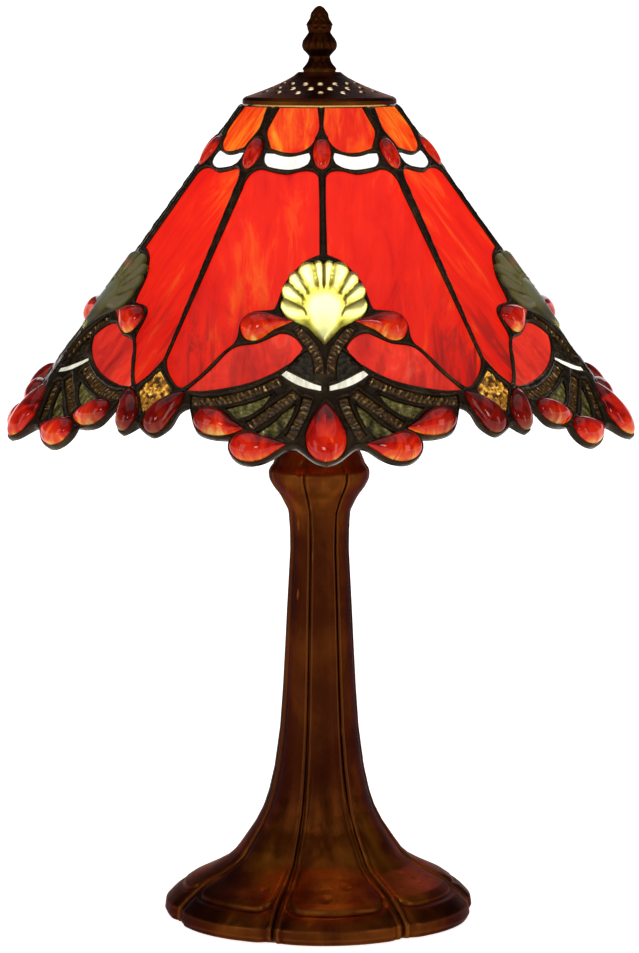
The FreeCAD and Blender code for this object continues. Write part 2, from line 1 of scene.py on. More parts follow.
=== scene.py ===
# Looks of the leaded glass table lamp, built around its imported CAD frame.
# Places on the shade are (t, s, h) in millimetres on one flat facet: t runs level from the
# motif's centre fold, s runs down the slope and h stands out of it. Meshes are in metres.
import math
import bpy
import numpy as np
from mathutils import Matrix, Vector, geometry, noise
from mathutils.bvhtree import BVHTree


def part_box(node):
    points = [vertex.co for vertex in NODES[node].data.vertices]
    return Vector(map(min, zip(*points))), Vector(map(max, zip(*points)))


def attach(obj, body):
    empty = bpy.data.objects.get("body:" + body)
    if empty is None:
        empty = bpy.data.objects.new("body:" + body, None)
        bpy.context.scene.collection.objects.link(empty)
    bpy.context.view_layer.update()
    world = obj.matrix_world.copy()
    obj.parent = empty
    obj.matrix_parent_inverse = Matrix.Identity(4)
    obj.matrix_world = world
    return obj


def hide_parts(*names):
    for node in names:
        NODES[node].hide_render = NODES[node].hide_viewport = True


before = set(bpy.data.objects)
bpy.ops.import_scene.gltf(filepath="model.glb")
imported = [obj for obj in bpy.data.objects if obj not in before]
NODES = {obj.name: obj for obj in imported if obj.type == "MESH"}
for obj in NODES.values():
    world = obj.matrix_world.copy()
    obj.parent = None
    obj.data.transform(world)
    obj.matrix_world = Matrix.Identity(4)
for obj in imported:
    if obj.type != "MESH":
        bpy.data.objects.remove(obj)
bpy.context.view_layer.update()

MM = 0.001

# ---- camera ----
CAMERA_AZIMUTH = math.radians(-1.16)
CAMERA_DISTANCE, CAMERA_HEIGHT = 1.98594, 0.4681
CAMERA_PITCH = math.radians(7.04)
CAMERA_LENS = 150.85


def added(name, data):
    """A new object in the scene."""
    thing = bpy.data.objects.new(name, data)
    bpy.context.scene.collection.objects.link(thing)
    return thing


def make_camera():
    data = bpy.data.cameras.new("camera")
    data.lens = CAMERA_LENS
    data.sensor_width = 36.0
    data.clip_end = 50.0
    camera = added("camera", data)
    camera.location = (CAMERA_DISTANCE * math.sin(CAMERA_AZIMUTH),
                       -CAMERA_DISTANCE * math.cos(CAMERA_AZIMUTH), CAMERA_HEIGHT)
    camera.rotation_euler = (math.pi / 2 - CAMERA_PITCH, 0, CAMERA_AZIMUTH)
    bpy.context.scene.camera = camera


make_camera()

# ---- the shade's facets ----
MOTIFS = 5
SECTOR = 2 * math.pi / MOTIFS
FACET = SECTOR / 2
SLOPE = math.radians(35.64)
PATTERN_APOTHEM, PATTERN_Z = 37.93, 408.07
HALF_TAN = math.tan(FACET / 2)
LEVEL = np.array([math.cos(FACET / 2), math.sin(FACET / 2), 0.0])
OUT = np.array([math.sin(FACET / 2) * math.cos(SLOPE), -math.cos(FACET / 2) * math.cos(SLOPE), math.sin(SLOPE)])
DOWN = np.array([math.sin(FACET / 2) * math.sin(SLOPE), -math.cos(FACET / 2) * math.sin(SLOPE), -math.cos(SLOPE)])
ORIGIN = np.array([PATTERN_APOTHEM * math.sin(FACET / 2), -PATTERN_APOTHEM * math.cos(FACET / 2), PATTERN_Z])
FOLD_SLOPE = math.tan(math.asin(OUT[0]))  # how fast each facet falls away from a fold


def apothem(s):
    return PATTERN_APOTHEM + s * math.sin(SLOPE)


def far_fold(s):
    """t of the fold between two motifs."""
    return 2 * HALF_TAN * apothem(s)


def hump(x, width):
    """1 where x is 0, falling smoothly to nothing on both sides."""
    return np.exp(-(x / width) ** 2)


def crossed(a, b):
    return a[:, 0] * b[:, 1] - a[:, 1] * b[:, 0]


def unit(vectors):
    return vectors / np.linalg.norm(vectors, axis=-1, keepdims=True)


def facet_to_frame(t, s, h, fold_round):
    """Points in metres, with the folds rounded off over fold_round millimetres."""
    near = np.clip(1 - t / fold_round, 0, 1)
    far = np.clip(1 - (far_fold(s) - t) / fold_round, 0, 1)
    side = np.array([math.cos(FACET), math.sin(FACET), 0.0])
    near_normal = unit(OUT * np.array([0, 1, 1]))
    far_normal = unit(OUT - (OUT @ side) * side)
    near_share, far_share = (near ** 2)[:, None], (far ** 2)[:, None]
    normal = unit(OUT * (1 - near_share - far_share) + near_normal * near_share + far_normal * far_share)
    sag = FOLD_SLOPE * fold_round / 2 * (near ** 2 + far ** 2)
    x = t - apothem(s) * HALF_TAN
    points = ORIGIN + x[:, None] * LEVEL + s[:, None] * DOWN + normal * (h - sag)[:, None]
    return points * MM


# ---- outlines, read from the CAD nodes ----
WELDS_PER_MM = 50.0  # CAD points closer than a fiftieth of a millimetre are one
FACING = 0.9995  # cosine within which a triangle lies in the facet's outer face
STRAIGHT = 0.2  # sine of a turn so slight that both sides move together
MITRE_LIMIT = 2.2  # how far a sharp corner may move, in times its sides
CORNER = math.radians(38)  # a sharper turn in an outline stays a corner
CLOSEST = 0.12  # least distance between a smoothed outline's points


def open_edges(triangles):
    """Directed edges that only one triangle has."""
    edges = set()
    for a, b, c in triangles:
        edges.update(((a, b), (b, c), (c, a)))
    return [(a, b) for a, b in edges if (b, a) not in edges]


def cad_loops(name):
    """Outlines, as (t, s) points, of a node's outer faces on the facet right of the front motif."""
    mesh = NODES[name].data
    mesh.calc_loop_triangles()
    points = np.empty(len(mesh.vertices) * 3)
    mesh.vertices.foreach_get("co", points)
    points = points.reshape(-1, 3) / MM
    keys, welded = np.unique(np.round(points * WELDS_PER_MM).astype(int), axis=0, return_inverse=True)
    welded = welded.ravel()
    corners = np.empty(len(mesh.loop_triangles) * 3, dtype=np.int32)
    mesh.loop_triangles.foreach_get("vertices", corners)
    triangles = corners.reshape(-1, 3)
    p = points[triangles]
    across = np.cross(p[:, 1] - p[:, 0], p[:, 2] - p[:, 0])
    size = np.linalg.norm(across, axis=1)
    facing = (across @ OUT) / np.maximum(size, 1e-12) > FACING
    following = dict(open_edges(welded[triangles[facing & (size > 1e-6)]]))
    places = keys / WELDS_PER_MM - ORIGIN
    loops = []
    while following:
        start, here = next(iter(sorted(following.items())))
        loop = [start]
        del following[start]
        while here != start:
            loop.append(here)
            here = following.pop(here)
        s = places[loop] @ DOWN
        t = places[loop] @ LEVEL + apothem(s) * HALF_TAN
        loops.append(without_spikes(np.column_stack([np.clip(t, 0, far_fold(s)), s])))
    return loops


def without_spikes(loop):
    """The loop with no stretch that runs along a fold and back."""
    while True:
        fold = on_fold(loop)
        behind, ahead = loop - np.roll(loop, 1, 0), np.roll(loop, -1, 0) - loop
        back = fold & np.roll(fold, 1) & np.roll(fold, -1) & ((behind * ahead).sum(1) <= 0)
        if not back.any():
            return loop
        loop = np.delete(loop, np.flatnonzero(back)[0], 0)


def grown(loop, amount):
    """The loop with each side moved outwards by its amount, sides on a fold kept."""
    ends = np.roll(loop, -1, 0)
    along = unit(ends - loop)
    turn = 1 if loop[:, 0] @ ends[:, 1] > loop[:, 1] @ ends[:, 0] else -1
    out = turn * np.column_stack([along[:, 1], -along[:, 0]])
    moved = np.where(on_fold(loop) & on_fold(ends), 0.0, amount)
    before, moved_before = np.roll(out, 1, 0), np.roll(moved, 1)
    cross = crossed(before, out)
    bent = np.abs(cross) > STRAIGHT
    safe = np.where(bent, cross, 1.0)
    corner = np.column_stack([moved_before * out[:, 1] - moved * before[:, 1],
                              moved * before[:, 0] - moved_before * out[:, 0]]) / safe[:, None]
    gentle = unit(out + before) * ((moved + moved_before) / 2)[:, None]
    shift = np.where(bent[:, None], corner, gentle)
    length = np.linalg.norm(shift, axis=1, keepdims=True)
    shift *= np.minimum(1, MITRE_LIMIT * np.abs(amount).max() / np.maximum(length, 1e-9))
    fresh = loop + shift
    fresh[:, 0] = np.clip(fresh[:, 0], 0, far_fold(fresh[:, 1]))
    return fresh


def area(loop):
    x, y = loop[:, 0], loop[:, 1]
    return abs(x @ np.roll(y, -1) - y @ np.roll(x, -1)) / 2


def smoothed(loop, spacing):
    """The loop with even points, curved between its corners."""
    ahead = unit(np.roll(loop, -1, 0) - loop)
    behind = np.roll(ahead, 1, 0)
    turn = np.arccos(np.clip((ahead * behind).sum(1), -1, 1))
    sharp = turn > CORNER
    count, fresh = len(loop), []
    for i in range(count):
        j = (i + 1) % count
        a, b = loop[i], loop[j]
        before = a if sharp[i] else loop[i - 1]
        after = b if sharp[j] else loop[(j + 1) % count]
        length = np.linalg.norm(b - a)
        steps = max(1, round(length / spacing))
        pull_a = (b - before) / max(np.linalg.norm(b - before), 1e-9) * length
        pull_b = (after - a) / max(np.linalg.norm(after - a), 1e-9) * length
        for k in range(steps):
            u = k / steps
            fresh.append((2 * u ** 3 - 3 * u ** 2 + 1) * a + (u ** 3 - 2 * u ** 2 + u) * pull_a
                         + (3 * u ** 2 - 2 * u ** 3) * b + (u ** 3 - u ** 2) * pull_b)
    fresh = np.array(fresh)
    keep = np.linalg.norm(fresh - np.roll(fresh, 1, 0), axis=1) > CLOSEST
    return fresh[keep]


# ---- flat triangulation ----
def batches(count, size):
    """Slices that keep the tables of points against edges small."""
    return [slice(start, start + size) for start in range(0, count, size)]


def inside(points, loops):
    """Whether each point is inside the loops, counted even-odd."""
    odd = np.zeros(len(points), bool)
    for loop in loops:
        a, b = loop, np.roll(loop, -1, 0)
        for some in batches(len(points), 4000):
            x, y = points[some, :1], points[some, 1:]
            spans = (a[:, 1] > y) != (b[:, 1] > y)
            with np.errstate(divide="ignore", invalid="ignore"):
                cross = a[:, 0] + (y - a[:, 1]) / (b[:, 1] - a[:, 1]) * (b[:, 0] - a[:, 0])
            odd[some] ^= (spans & (x < cross)).sum(1) % 2 == 1
    return odd


def on_fold(points, slack=0.02):
    return (points[:, 0] < slack) | (points[:, 0] > far_fold(points[:, 1]) - slack)


def distance(points, loops):
    """Distance to the nearest outline that isn't a fold."""
    starts = np.concatenate(loops)
    ends = np.concatenate([np.roll(loop, -1, 0) for loop in loops])
    real = ~(on_fold(starts) & on_fold(ends))
    a, step = starts[real], (ends - starts)[real]
    square = np.maximum((step ** 2).sum(1), 1e-12)
    nearest = np.empty(len(points))
    for some in batches(len(points), 1500):
        rel = points[some, None] - a
        along = np.clip((rel * step).sum(2) / square, 0, 1)
        nearest[some] = np.sqrt(((rel - along[..., None] * step) ** 2).sum(2)).min(1)
    return nearest


def hex_grid(low, high, pitch):
    rows = []
    for k, y in enumerate(np.arange(low[1], high[1], pitch * math.sqrt(0.75))):
        x = np.arange(low[0] + (k % 2) * pitch / 2, high[0], pitch)
        rows.append(np.column_stack([x, np.full(len(x), y)]))
    return np.concatenate(rows)


class Patch:
    """A flat region cut into triangles, with each point's distance from its edge."""

    def __init__(self, loops, rings, pitch):
        seeds = [self.ring(loops, offset) for offset in rings]
        every = np.concatenate(loops)
        grid = hex_grid(every.min(0) + pitch / 3, every.max(0), pitch)
        grid = grid[inside(grid, loops)]
        inner = max(rings) if rings else 0.0
        grid = grid[distance(grid, loops) > inner + pitch * 0.45]
        folds = np.minimum(grid[:, 0], far_fold(grid[:, 1]) - grid[:, 0])
        seeds.append(grid[folds > pitch * 0.4])
        points = [Vector(p) for p in np.concatenate([every] + seeds)]
        edges, first = [], 0
        for loop in loops:
            edges += [(first + i, first + (i + 1) % len(loop)) for i in range(len(loop))]
            first += len(loop)
        made = geometry.delaunay_2d_cdt(points, edges, [], 0, 1e-5)
        self.points = np.array([tuple(p) for p in made[0]])
        triangles = np.array(made[2])
        middles = self.points[triangles].mean(1)
        self.triangles = triangles[inside(middles, loops)]
        p = self.points[self.triangles]
        clockwise = crossed(p[:, 1] - p[:, 0], p[:, 2] - p[:, 0]) > 0
        self.triangles[clockwise] = self.triangles[clockwise][:, ::-1]
        used = np.unique(self.triangles)
        renumber = np.full(len(self.points), -1)
        renumber[used] = np.arange(len(used))
        self.points, self.triangles = self.points[used], renumber[self.triangles]
        self.depth = distance(self.points, loops)
        self.fold = on_fold(self.points)

    def ring(self, loops, offset):
        """Points set in from every outline by one offset."""
        found = []
        for loop in loops:
            along = unit(np.roll(loop, -1, 0) - np.roll(loop, 1, 0))
            side = np.column_stack([-along[:, 1], along[:, 0]]) * offset
            found += [loop + side, loop - side]
        found = np.concatenate(found)
        found = found[inside(found, loops)]
        found = found[distance(found, loops) > offset * 0.85]
        cells = {}
        reach = max(0.45, offset * 0.5)
        for x, y in found:
            cells.setdefault((round(x / reach), round(y / reach)), (x, y))
        return np.array(list(cells.values())).reshape(-1, 2)

    def rim(self):
        """Directed edges on the outline, folds left out."""
        return [(a, b) for a, b in open_edges(self.triangles) if not (self.fold[a] and self.fold[b])]

    def dome(self):
        """A smooth dome over the region, 0 at its outline and 1 at its top."""
        count = len(self.points)
        matrix, load = np.zeros((count, count)), np.zeros(count)
        for corner in range(3):
            i, j, k = (self.triangles[:, (corner + n) % 3] for n in range(3))
            u, v = self.points[j] - self.points[i], self.points[k] - self.points[i]
            twice = np.abs(crossed(u, v))
            weight = (u * v).sum(1) / np.maximum(twice, 1e-9) / 2
            np.add.at(matrix, (j, k), -weight)
            np.add.at(matrix, (k, j), -weight)
            np.add.at(matrix, (j, j), weight)
            np.add.at(matrix, (k, k), weight)
            np.add.at(load, i, twice / 6)
        fixed = np.zeros(count, bool)
        fixed[[a for edge in self.rim() for a in edge]] = True
        free = ~fixed
        height = np.zeros(count)
        height[free] = np.linalg.solve(matrix[np.ix_(free, free)], load[free])
        return np.sqrt(np.clip(height / height.max(), 0, 1))


def flat_noise(points, scale, seed):
    """Smooth noise about 0 over flat points, features about scale millimetres wide."""
    return np.array([noise.noise(Vector((x / scale, y / scale, seed))) for x, y in points])


# ---- meshes of the shade ----
def solid_half(patch, top, bottom, fold_round, relief=None):
    """(points in metres, faces, (t, s, relief) of each point) of a patch given thickness."""
    t, s = patch.points.T
    count = len(t)
    relief = np.zeros(count) if relief is None else relief
    points = np.concatenate([facet_to_frame(t, s, top, fold_round), facet_to_frame(t, s, bottom, fold_round)])
    faces = [tuple(f) for f in patch.triangles] + [tuple(f[::-1] + count) for f in patch.triangles]
    faces += [(b, a, a + count, b + count) for a, b in patch.rim()]
    panes = np.column_stack([np.tile(t, 2) / 100, np.tile(s, 2) / 100, np.tile(relief, 2)])
    return points, faces, panes


def turned(points, angle):
    c, s = math.cos(angle), math.sin(angle)
    return points @ np.array([[c, s, 0], [-s, c, 0], [0, 0, 1]])


def new_object(name, points, faces, panes=None):
    mesh = bpy.data.meshes.new(name)
    mesh.from_pydata(points.tolist(), [], faces)
    if panes is not None:
        place = mesh.attributes.new("pane", "FLOAT_VECTOR", "POINT")
        place.data.foreach_set("vector", panes[:, :3].astype(np.float32).ravel())
        relief = mesh.attributes.new("relief", "FLOAT", "POINT")
        relief.data.foreach_set("value", panes[:, 3].astype(np.float32))
    mesh.polygons.foreach_set("use_smooth", [True] * len(mesh.polygons))
    mesh.update()
    return added(name, mesh)


def sharpen(piece, angle):
    """Faces that meet at more than the angle shade as an edge."""
    piece.data.set_sharp_from_angle(angle=math.radians(angle))
    return piece


SEAM = 2e-6  # metres within which the copies' points at a fold are one
COPY_SEED, PANE_SEED = 3.1, 0.7  # steps in the noise's third axis, so that no two panes match


def around_shade(name, halves, angle=50):
    """One object with each half on all ten facets, welded where copies meet at a fold."""
    points, faces, panes, first = [], [], [], 0
    for number, (half, half_faces, half_panes) in enumerate(halves):
        for k in range(MOTIFS):
            for mirror in (1, -1):
                copy = turned(half * np.array([mirror, 1, 1]), SECTOR * k)
                points.append(copy)
                seed = np.full(len(half), COPY_SEED * (2 * k + (mirror < 0)) + PANE_SEED * number)
                panes.append(np.column_stack([half_panes[:, 0] * mirror, half_panes[:, 1], seed, half_panes[:, 2]]))
                faces += [tuple(i + first for i in (f if mirror > 0 else f[::-1])) for f in half_faces]
                first += len(half)
    points, panes = np.concatenate(points), np.concatenate(panes)
    _, index, welded = np.unique(np.round(points / SEAM).astype(np.int64), axis=0,
                                 return_index=True, return_inverse=True)
    welded = welded.ravel()
    fresh = []
    for face in faces:
        ring = [int(welded[i]) for i in face]
        if len(set(ring)) == len(ring):
            fresh.append(ring)
    return sharpen(new_object(name, points[index], fresh, panes[index]), angle)


SHEET_BACK, LEAD_BACK = -2.4, -2.2  # h of the inner faces of the glass and the leading
EDGE_DROP = 0.25  # how far a pane's face falls towards its edge
TUCK = 0.35  # how far a pane reaches under the solder
CROWN_BAND = 1.1  # the solder along the shade's top edge
CENTRE_SEAM = 2.2, 1.5  # t where the red panels' centre seam starts to widen, and over how far
PANES = ("shell_side_drops", "centre_ruby_drops", "inner_ruby_drops", "outer_ruby_drops", "flank_ruby_drops",
         "crown_ruby_ovals", "shell_glass", "red_panel_glass", "red_leaf_glass", "crown_petal_glass",
         "white_slip_glass", "white_sliver_glass", "green_upper_wedges", "green_lower_wedges",
         "amber_scroll_glass", "amber_upper_strips", "amber_middle_strips", "amber_inner_strips",
         "dark_infill_glass", "amber_diamond_glass")
# how far the rounded solder leaves each pane in sight past its edge in the solid model
SHOWN = 0.55
SHOWN_MORE = {"crown_ruby_ovals": 0.3, "shell_glass": 0.3, "crown_petal_glass": 0.15, "white_sliver_glass": 0.25,
              "centre_ruby_drops": -0.3, "shell_side_drops": 0.4, "inner_ruby_drops": 0.3, "outer_ruby_drops": 0.3,
              "flank_ruby_drops": 0.3}


def shown_loops(node, tuck=0.0):
    """A pane's outlines as far as the rounded solder leaves it in sight."""
    grow = SHOWN_MORE.get(node, SHOWN)
    found = []
    for loop in cad_loops(node):
        middle = (loop[:, 0] + np.roll(loop[:, 0], -1)) / 2
        wide_seam = 1.0
        if node == "red_panel_glass":
            wide_seam = np.clip((middle - CENTRE_SEAM[0]) / CENTRE_SEAM[1], 0, 1)
        fresh = grown(loop, grow * wide_seam + tuck)
        if node == "crown_petal_glass":
            fresh[:, 1] = np.maximum(fresh[:, 1], loop[:, 1].min() + CROWN_BAND - tuck)
        found.append(fresh)
    return found


def sheet_glass(node, texture=None):
    """Flat glass with a slightly uneven or textured face, tucked under the leading."""
    pitch, wave = (0.7, 0.1) if texture else (4.0, 0.14)
    halves = []
    for number, loop in enumerate(shown_loops(node, TUCK)):
        patch = Patch([smoothed(loop, 1.6)], [0.6], pitch)
        top = wave * flat_noise(patch.points, 14.0, 5.0 + number) - EDGE_DROP * np.exp(-patch.depth)
        relief = None
        if texture is not None:
            relief = texture(patch) * np.clip(patch.depth / 0.8, 0, 1)
            top = top + relief
        bottom = SHEET_BACK + 0.5 * wave * flat_noise(patch.points, 11.0, 9.0)
        halves.append(solid_half(patch, top, bottom, 2.0, relief))
    return around_shade(node + "_pane", halves)


RIB_PITCH = 2.4
CHIP_AREA = 3.0  # square millimetres to each chip of the diamonds' glass


def ribbed(patch):
    """Cross ribs along a narrow strip, broken up like rolled ripple glass."""
    centred = patch.points - patch.points.mean(0)
    _, axes = np.linalg.eigh(centred.T @ centred)
    along, across = centred @ axes[:, 1], centred @ axes[:, 0]
    wander = 1.6 * flat_noise(patch.points, 3.6, 21.0)
    ribs = np.sin(2 * math.pi * (along + 0.25 * across + wander) / RIB_PITCH)
    patchy = np.clip(0.6 + 1.2 * flat_noise(patch.points, 5.0, 29.0), 0.1, 1.0)
    return 0.40 * ribs * patchy + 0.40 * flat_noise(patch.points, 1.5, 33.0)


def seedy(patch):
    return 0.6 * flat_noise(patch.points, 2.2, 41.0)


def rolled(patch):
    return 0.28 * flat_noise(patch.points * np.array([1.0, 0.45]), 4.0, 47.0)


def glue_chip(patch):
    """Small tilted chips, each a flat facet with its own slope."""
    state = np.random.default_rng(12)
    low, high = patch.points.min(0), patch.points.max(0)
    count = max(12, int(np.prod(high - low) / CHIP_AREA))
    centres = state.uniform(low, high, (count, 2))
    tilts = state.normal(0, 0.28, (count, 2))
    levels = state.uniform(-0.3, 0.3, count)
    nearest = np.linalg.norm(patch.points[:, None] - centres, axis=2).argmin(1)
    return levels[nearest] + ((patch.points - centres[nearest]) * tilts[nearest]).sum(1)


JEWEL_RIM = 0.5  # how far a jewel stands straight up before it domes


def jewel(node, height, fold_round):
    """Cast cabochon: a smooth dome over the outline, flat behind."""
    halves = []
    for loop in shown_loops(node, TUCK):
        patch = Patch([smoothed(loop, 0.8)], [0.12, 0.35, 0.7, 1.2, 1.9], 1.0)
        dome = patch.dome()
        back = np.full(len(dome), SHEET_BACK)
        halves.append(solid_half(patch, JEWEL_RIM + height * dome ** 0.85, back, fold_round, dome))
    return around_shade(node + "_cast", halves, 85)


# the shell's drawing, as (t, s) places
SHELL_FAN = np.array([0.0, 119.0])  # where its ribs would meet
SHELL_VALLEYS = [(0, 89), (4.8, 88.8), (12.5, 94), (16.7, 100), (19.2, 108.5), (14, 121)]
SHELL_HEART = np.array([0.0, 113.5])
HEART_WIDE, HEART_HIGH = 9.6, 10.2
SHELL_TIP = 133.0  # s of the shell's lowest point


def shell_relief(patch):
    """Scallop ribs fanning out of a smooth domed heart: their height, and how much light they carry."""
    t, s = patch.points.T
    angle = np.arctan2(t - SHELL_FAN[0], SHELL_FAN[1] - s)
    valleys = [math.atan2(x - SHELL_FAN[0], SHELL_FAN[1] - y) for x, y in SHELL_VALLEYS]
    place = np.interp(angle, valleys, range(len(valleys)))
    radius = np.hypot((t - SHELL_HEART[0]) / HEART_WIDE, (s - SHELL_HEART[1]) / HEART_HIGH)
    tail = s > SHELL_HEART[1]
    width = HEART_WIDE * np.clip((SHELL_TIP - s) / (SHELL_TIP - SHELL_HEART[1]), 0.02, 1) ** 0.8
    radius = np.where(tail, np.abs(t) / width, radius)
    heart = np.clip(1 - radius ** 2, 0, 1) ** 0.5
    ribs = np.abs(np.sin(math.pi * place)) ** 0.75 * np.clip((radius - 1) / 0.12, 0, 1)
    edge = 1 - np.clip(1 - patch.depth / 2.2, 0, 1) ** 2
    joint = hump(radius - 1.04, 0.12)
    relief = edge ** 0.5 * (1.6 + 1.7 * ribs + 2.2 * heart + 0.5 * joint)
    root = hump(radius - 1.22, 0.26) * np.where(tail, 0.3, 1.0)
    return relief, relief - 0.75 * root


def shells():
    loop = shown_loops("shell_glass", TUCK)[0]
    patch = Patch([smoothed(loop, 0.7)], [0.2, 0.6], 0.85)
    relief, carried = shell_relief(patch)
    half = solid_half(patch, 0.3 + relief, np.full(len(patch.points), SHEET_BACK), 9.0, carried)
    return around_shade("shell_glass_pressed", [half])


BEAD = 1.7  # height and half width of a full bead of solder
SCALLOP_TRIM = 1.0  # the solder rounds this much off the scalloped edge
SCALLOPS_START = 100  # s below which the leading's free edge is scalloped


def leading():
    """Soldered came: a rounded bead along every seam, inside and out."""
    openings = [loop for node in PANES for loop in shown_loops(node)]
    edge = max(cad_loops("shade_leading"), key=area)
    cut_by = [loop for node in PANES for loop in cad_loops(node)
              if on_fold(loop).sum() > 1 or node == "crown_petal_glass"]
    edge = edge[distance(edge, cut_by) > 0.15]
    sides = (edge[:, 1] + np.roll(edge[:, 1], -1)) / 2
    edge = grown(edge, np.where(sides > SCALLOPS_START, -SCALLOP_TRIM, 0.0))
    patch = Patch([smoothed(loop, 1.3) for loop in [edge] + openings], [0.3, 0.8, 1.4], 2.2)
    round_depth = np.clip(patch.depth, 0, BEAD)
    bead = np.sqrt(BEAD ** 2 - (BEAD - round_depth) ** 2)
    lumps = 0.22 * flat_noise(patch.points, 5.0, 3.0) + 0.12 * flat_noise(patch.points, 2.0, 8.0)
    top = 0.1 + bead * (0.95 + lumps)
    bottom = LEAD_BACK - bead * 0.3
    return around_shade("shade_leading_solder", [solid_half(patch, top, bottom, 3.0)])


# ---- procedural finishes ----
BULB_GLOW = (0.0, 0.0, 0.322)  # where the light seen through the panes comes from
FLANK = 0.50, 0.68  # between these distances from a motif's middle, in hundreds of mm, the jewels' painted glow dims: painted shade on the flank jewels
LOW_DARKENING = 0.85, 1.5  # dark streaks thicken between these distances down the slope, in hundreds of mm, so the glass gets darker towards the shade's bottom
# heights in metres between which painted light and shade change the bronze paint: painted light on the foot's panels,
# painted shade on the foot's bottom rim, painted light on the collar under the shade
FOOT_PAINTED_LIGHT, RIM_PAINTED_SHADE, COLLAR_PAINTED_LIGHT = (0.03, 0.085), (0.012, 0.026), (0.18, 0.235)
CAP_PAINTED_GLOW = 0.4105, 0.4125  # heights between which the painted lamp glow on the cap's inside begins


class Finish:
    """One procedural material, built node by node."""

    def __init__(self, name, **sockets):
        self.material = bpy.data.materials.new(name)
        self.material.use_nodes = True
        self.tree = self.material.node_tree
        self.bsdf = self.tree.nodes["Principled BSDF"]
        for socket, value in sockets.items():
            self.bsdf.inputs[socket.replace("_", " ")].default_value = value

    def add(self, kind, settings=(), **inputs):
        node = self.tree.nodes.new("ShaderNode" + kind)
        for key, value in dict(settings).items():
            setattr(node, key, value)
        for key, value in inputs.items():
            self.put(node.inputs[key.replace("_", " ")], value)
        return node

    def put(self, socket, value):
        if isinstance(value, bpy.types.NodeSocket):
            self.tree.links.new(value, socket)
        else:
            socket.default_value = value

    def shade(self, **sockets):
        for socket, value in sockets.items():
            self.put(self.bsdf.inputs[socket.replace("_", " ")], value)

    def place(self):
        return self.add("TexCoord").outputs["Object"]

    def pane(self):
        return self.add("Attribute", {"attribute_name": "pane"}).outputs["Vector"]

    def relief(self):
        return self.add("Attribute", {"attribute_name": "relief"}).outputs["Fac"]

    def part(self, vector, axis):
        return self.add("SeparateXYZ", Vector=vector).outputs[axis]

    def slope(self):
        """Z of the surface's own normal: 1 facing up, -1 facing down."""
        return self.part(self.add("TexCoord").outputs["Normal"], "Z")

    def span(self, value, low, high, start, end, kind="LINEAR"):
        """Start below low, end above high, and an even change between them."""
        node = self.add("MapRange", {"interpolation_type": kind}, Value=value, From_Min=low, From_Max=high,
                        To_Min=start, To_Max=end)
        return node.outputs[0]

    def ease(self, value, low, high, start=0.0, end=1.0):
        return self.span(value, low, high, start, end, "SMOOTHSTEP")

    def noise(self, vector, scale, detail=3.0, rough=0.5, distort=0.0, stretch=None, turn=0.0):
        if stretch:
            vector = self.add("Mapping", Vector=vector, Scale=stretch, Rotation=(0, 0, turn)).outputs[0]
        node = self.add("TexNoise", Vector=vector, Scale=scale, Detail=detail, Roughness=rough, Distortion=distort)
        return node.outputs[0]

    def math(self, operation, *values):
        node = self.add("Math", {"operation": operation})
        for socket, value in zip(node.inputs, values):
            self.put(socket, value)
        return node.outputs[0]

    def sum(self, *parts):
        """Each of the values times its share, added up."""
        total = 0.0
        for value, share in parts:
            total = self.math("MULTIPLY_ADD", value, share, total)
        return total

    def ramp(self, factor, stops):
        node = self.add("ValToRGB", Fac=factor)
        ramp = node.color_ramp
        while len(ramp.elements) < len(stops):
            ramp.elements.new(0.5)
        for element, (position, colour) in zip(ramp.elements, stops):
            element.position = position
            element.color = (*colour, 1.0)
        return node.outputs[0]

    def mix(self, factor, a, b, blend="MIX"):
        node = self.add("Mix", {"data_type": "RGBA", "blend_type": blend})
        self.put(node.inputs[0], factor)
        for index, value in ((6, a), (7, b)):
            self.put(node.inputs[index], (*value, 1.0) if isinstance(value, tuple) else value)
        return node.outputs[2]

    def times(self, a, b):
        return self.mix(1.0, a, b, "MULTIPLY")

    def bumped(self, height, distance, strength):
        """The material, with bumps on it."""
        self.shade(Normal=self.add("Bump", Height=height, Distance=distance, Strength=strength).outputs[0])
        return self.material


def lamp_light(finish, near, far, low):
    """1 close to the bulb, falling to low further away."""
    away = finish.add("VectorMath", {"operation": "DISTANCE"})
    finish.put(away.inputs[0], finish.place())
    away.inputs[1].default_value = BULB_GLOW
    return finish.span(away.outputs["Value"], near, far, 1.0, low)


def streaky(name, stops, strength, along=0.28, scale=9.0, reach=(0.07, 0.17, 0.55), low_darkening=0.0):
    """Hand-rolled sheet glass lit from behind: long wisps of colour that fold over each other."""
    finish = Finish(name, Roughness=0.28, IOR=1.5, Specular_IOR_Level=0.16, Emission_Strength=strength)
    pane = finish.pane()
    broad = finish.noise(pane, 3.2, 2.0, 0.5, 0.6, (1.0, 0.5, 1.0))
    wisps = finish.noise(pane, scale, 6.0, 0.62, 1.4, (1.0, along, 1.0), 0.25)
    threads = finish.noise(pane, 4.0 * scale, 4.0, 0.6, 0.5, (1.0, 0.12, 1.0))
    colour = finish.ramp(finish.sum((wisps, 0.44), (broad, 0.44), (threads, 0.12)), stops)
    # darker streaks towards the shade's bottom
    if low_darkening:
        low = finish.ease(finish.part(pane, "Y"), *LOW_DARKENING)
        drift = finish.noise(pane, 13.0, 5.0, 0.65, 1.0, (1.0, 0.22, 1.0), -0.3)
        shade = finish.math("MULTIPLY", finish.ease(drift, 0.46, 0.66), finish.math("MULTIPLY", low, low_darkening))
        colour = finish.mix(shade, colour, (0.16, 0.012, 0.012))
    finish.shade(Emission_Color=finish.times(colour, lamp_light(finish, *reach)),
                 Base_Color=finish.times(colour, (0.08, 0.07, 0.07)))
    return finish.bumped(finish.noise(pane, 14.0, 2.0, stretch=(1.0, 0.4, 1.0)), 0.0006, 0.5)


